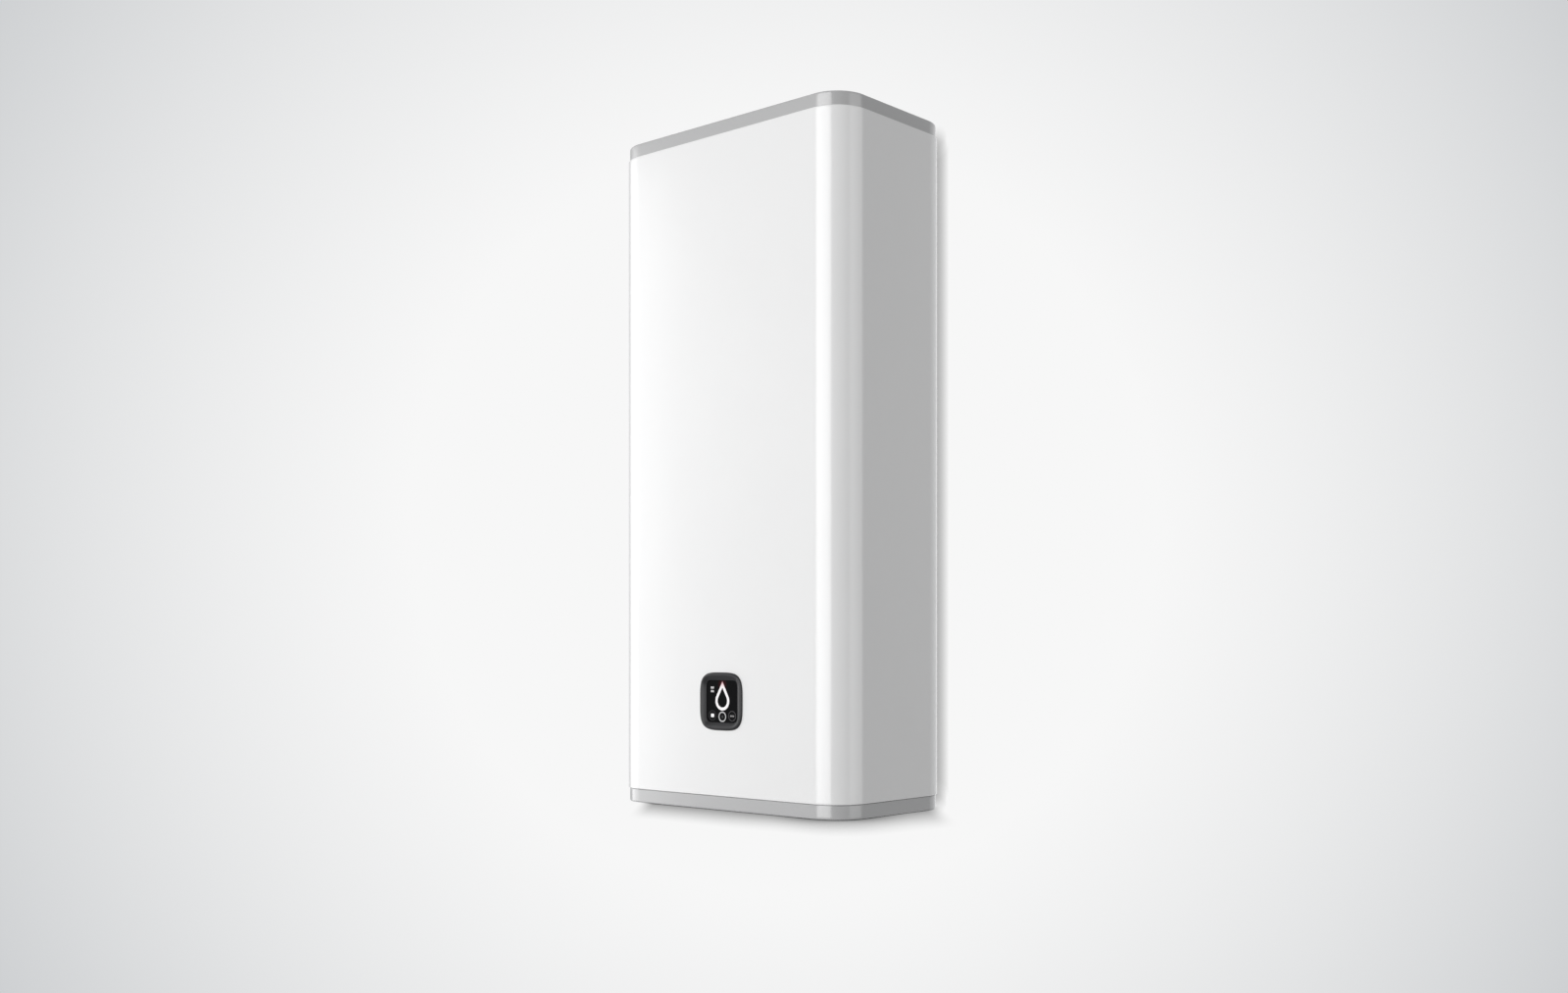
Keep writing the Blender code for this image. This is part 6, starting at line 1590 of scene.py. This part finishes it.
def shadeSheet(name, halves, place, turn, distance, power, edges, corner=(), growth=()):
    # a sheet that only the camera sees, from its front: it darkens what lies behind it by the share of the
    # sky that the case leaves it, to a power, and clears past its edges; between the corner's two sides the
    # distance and the power grow by their factors
    sheet = flatMesh(name, np.array(halves) * [(-1, -1), (1, -1), (1, 1), (-1, 1)])
    sheet.location, sheet.rotation_euler = place, turn
    for way in ("diffuse", "glossy", "transmission", "shadow", "volume_scatter"):
        setattr(sheet, "visible_" + way, False)
    tree, surface = bareMaterial("soft contact shade, " + name, sheet)
    geometry = addNode(tree, "NewGeometry")
    position, hidden = geometry.outputs["Position"], geometry.outputs["Backfacing"]
    if corner:
        sideShares = [fadeAlong(tree, position, *side) for side in corner]
        nearCorner = addNode(tree, "Math", dict(enumerate(sideShares)), operation="MULTIPLY").outputs[0]
        spans = [{"Value": nearCorner, "To Min": value, "To Max": value * factor}
                 for value, factor in zip((distance, power), growth)]
        distance, power = (addNode(tree, "MapRange", span).outputs["Result"] for span in spans)
    skyShare = addNode(tree, "AmbientOcclusion", {"Distance": distance}, samples=16).outputs["Color"]
    skyShare = addNode(tree, "Gamma", {"Color": skyShare, "Gamma": power}).outputs["Color"]
    for edge in edges:
        fade = fadeAlong(tree, position, *edge)
        hidden = addNode(tree, "Math", {0: hidden, 1: fade}, operation="MAXIMUM").outputs[0]
    tint = addNode(tree, "Mix", {0: hidden, 6: skyShare, 7: (1.0, 1.0, 1.0, 1.0)},
                   data_type="RGBA").outputs[2]
    clear = addNode(tree, "BsdfTransparent", {"Color": tint})
    tree.links.new(clear.outputs[0], surface)


def buildShades():
    # the case's contact shade on the wall that it hangs on, and the one that gathers under it, between the
    # two outer edges that the photograph shows
    half = np.array([case["width"], case["depth"], case["height"]]) / 2
    place = (0.0, stage["wallGap"], float(toWorld[2]) + half[2])
    shadeSheet("wall", half[[0, 2]] + stage["wallReach"], place, (math.pi / 2, 0.0, 0.0), stage["wallShade"],
               stage["wallPower"], ())
    turn = math.radians(camera["turn"])
    across = np.array([math.cos(turn), math.sin(turn), 0.0])
    edges = [((0.0, 1.0, 0.0), *stage["underBack"]), (tuple(across), *stage["underRight"]),
             (tuple(-across), *stage["underLeft"])]
    corner = [(tuple(across), *stage["cornerFromLeft"]), (tuple(-across), *stage["cornerFromRight"])]
    place = (0.0, float(toWorld[1]), float(toWorld[2]) - stage["underGap"])
    shadeSheet("under the case", half[:2] + stage["underReach"], place, (0.0, 0.0, 0.0), stage["underShade"],
               stage["underPower"], edges, corner, stage["cornerGrowth"])


def buildWorld():
    # pale near the photograph's line of sight and greyer away from it, for the camera and, dimmer, for
    # reflections; even light for the rest
    world = bpy.data.worlds.new("studio")
    bpy.context.scene.world = world
    world.use_nodes = True
    tree = world.node_tree
    tree.nodes.remove(tree.nodes["Background"])
    turn = math.radians(camera["turn"])
    place = addNode(tree, "TexCoord").outputs["Generated"]
    sight = (-math.sin(turn), math.cos(turn), stage["sightRise"])
    aim = addNode(tree, "VectorMath", {0: place, 1: sight}, operation="DOT_PRODUCT").outputs["Value"]
    span = {"Value": aim, "From Min": stage["paleUntil"], "From Max": stage["greyFrom"]}
    away = addNode(tree, "MapRange", span).outputs["Result"]
    tones = {0: away, 6: toLinear(stage["nearColour"]), 7: toLinear(stage["farColour"])}
    colour = addNode(tree, "Mix", tones, data_type="RGBA").outputs[2]
    path = addNode(tree, "LightPath").outputs
    direct = {0: path["Is Camera Ray"], 1: path["Is Transmission Ray"]}
    seen = addNode(tree, "Math", direct, operation="MAXIMUM").outputs[0]
    glossy = {0: path["Is Glossy Ray"], 1: stage["mirrored"]}
    mirrored = addNode(tree, "Math", glossy, operation="MULTIPLY").outputs[0]
    seen = addNode(tree, "Math", {0: seen, 1: mirrored}, operation="MAXIMUM").outputs[0]
    shown = addNode(tree, "Background", {"Color": colour, "Strength": 1.0})
    ambient = addNode(tree, "Background", {"Color": (1.0, 1.0, 1.0, 1.0), "Strength": stage["ambient"]})
    mix = addNode(tree, "MixShader", {0: seen, 1: ambient.outputs[0], 2: shown.outputs[0]})
    tree.links.new(mix.outputs[0], tree.nodes["World Output"].inputs["Surface"])


def buildLamps():
    # each softbox stands upright round the heater and faces its middle line
    middle = Vector((0.0, float(toWorld[1]), 0.0))
    for name, (turn, distance, height, width, tall, watts) in lamps.items():
        data = bpy.data.lights.new(name, "AREA")
        data.shape = "RECTANGLE"
        data.size, data.size_y, data.energy = width, tall, watts
        lamp = bpy.data.objects.new(name, data)
        away = Vector((math.sin(math.radians(turn)), -math.cos(math.radians(turn)), 0.0))
        lamp.location = middle + away * distance + Vector((0.0, 0.0, height))
        lamp.rotation_euler = (-away).to_track_quat("-Z", "Y").to_euler()
        lamp.visible_camera = False
        bpy.context.scene.collection.objects.link(lamp)


def buildCamera():
    # as tall and far as the photograph's own, level, with the picture shifted up
    data = bpy.data.cameras.new("camera")
    data.lens, data.sensor_width, data.shift_y = camera["lens"], 36.0, camera["shiftY"]
    data.clip_start, data.clip_end = 0.05, 50.0
    eye = bpy.data.objects.new("camera", data)
    eye.location = camera["place"]
    eye.rotation_euler = (math.pi / 2, 0.0, math.radians(camera["turn"]))
    bpy.context.scene.collection.objects.link(eye)
    bpy.context.scene.camera = eye


buildFloor()
buildShades()
buildWorld()
buildLamps()
buildCamera()
bpy.context.scene.view_settings.view_transform = "Standard"
print("stage, lamps and camera set")
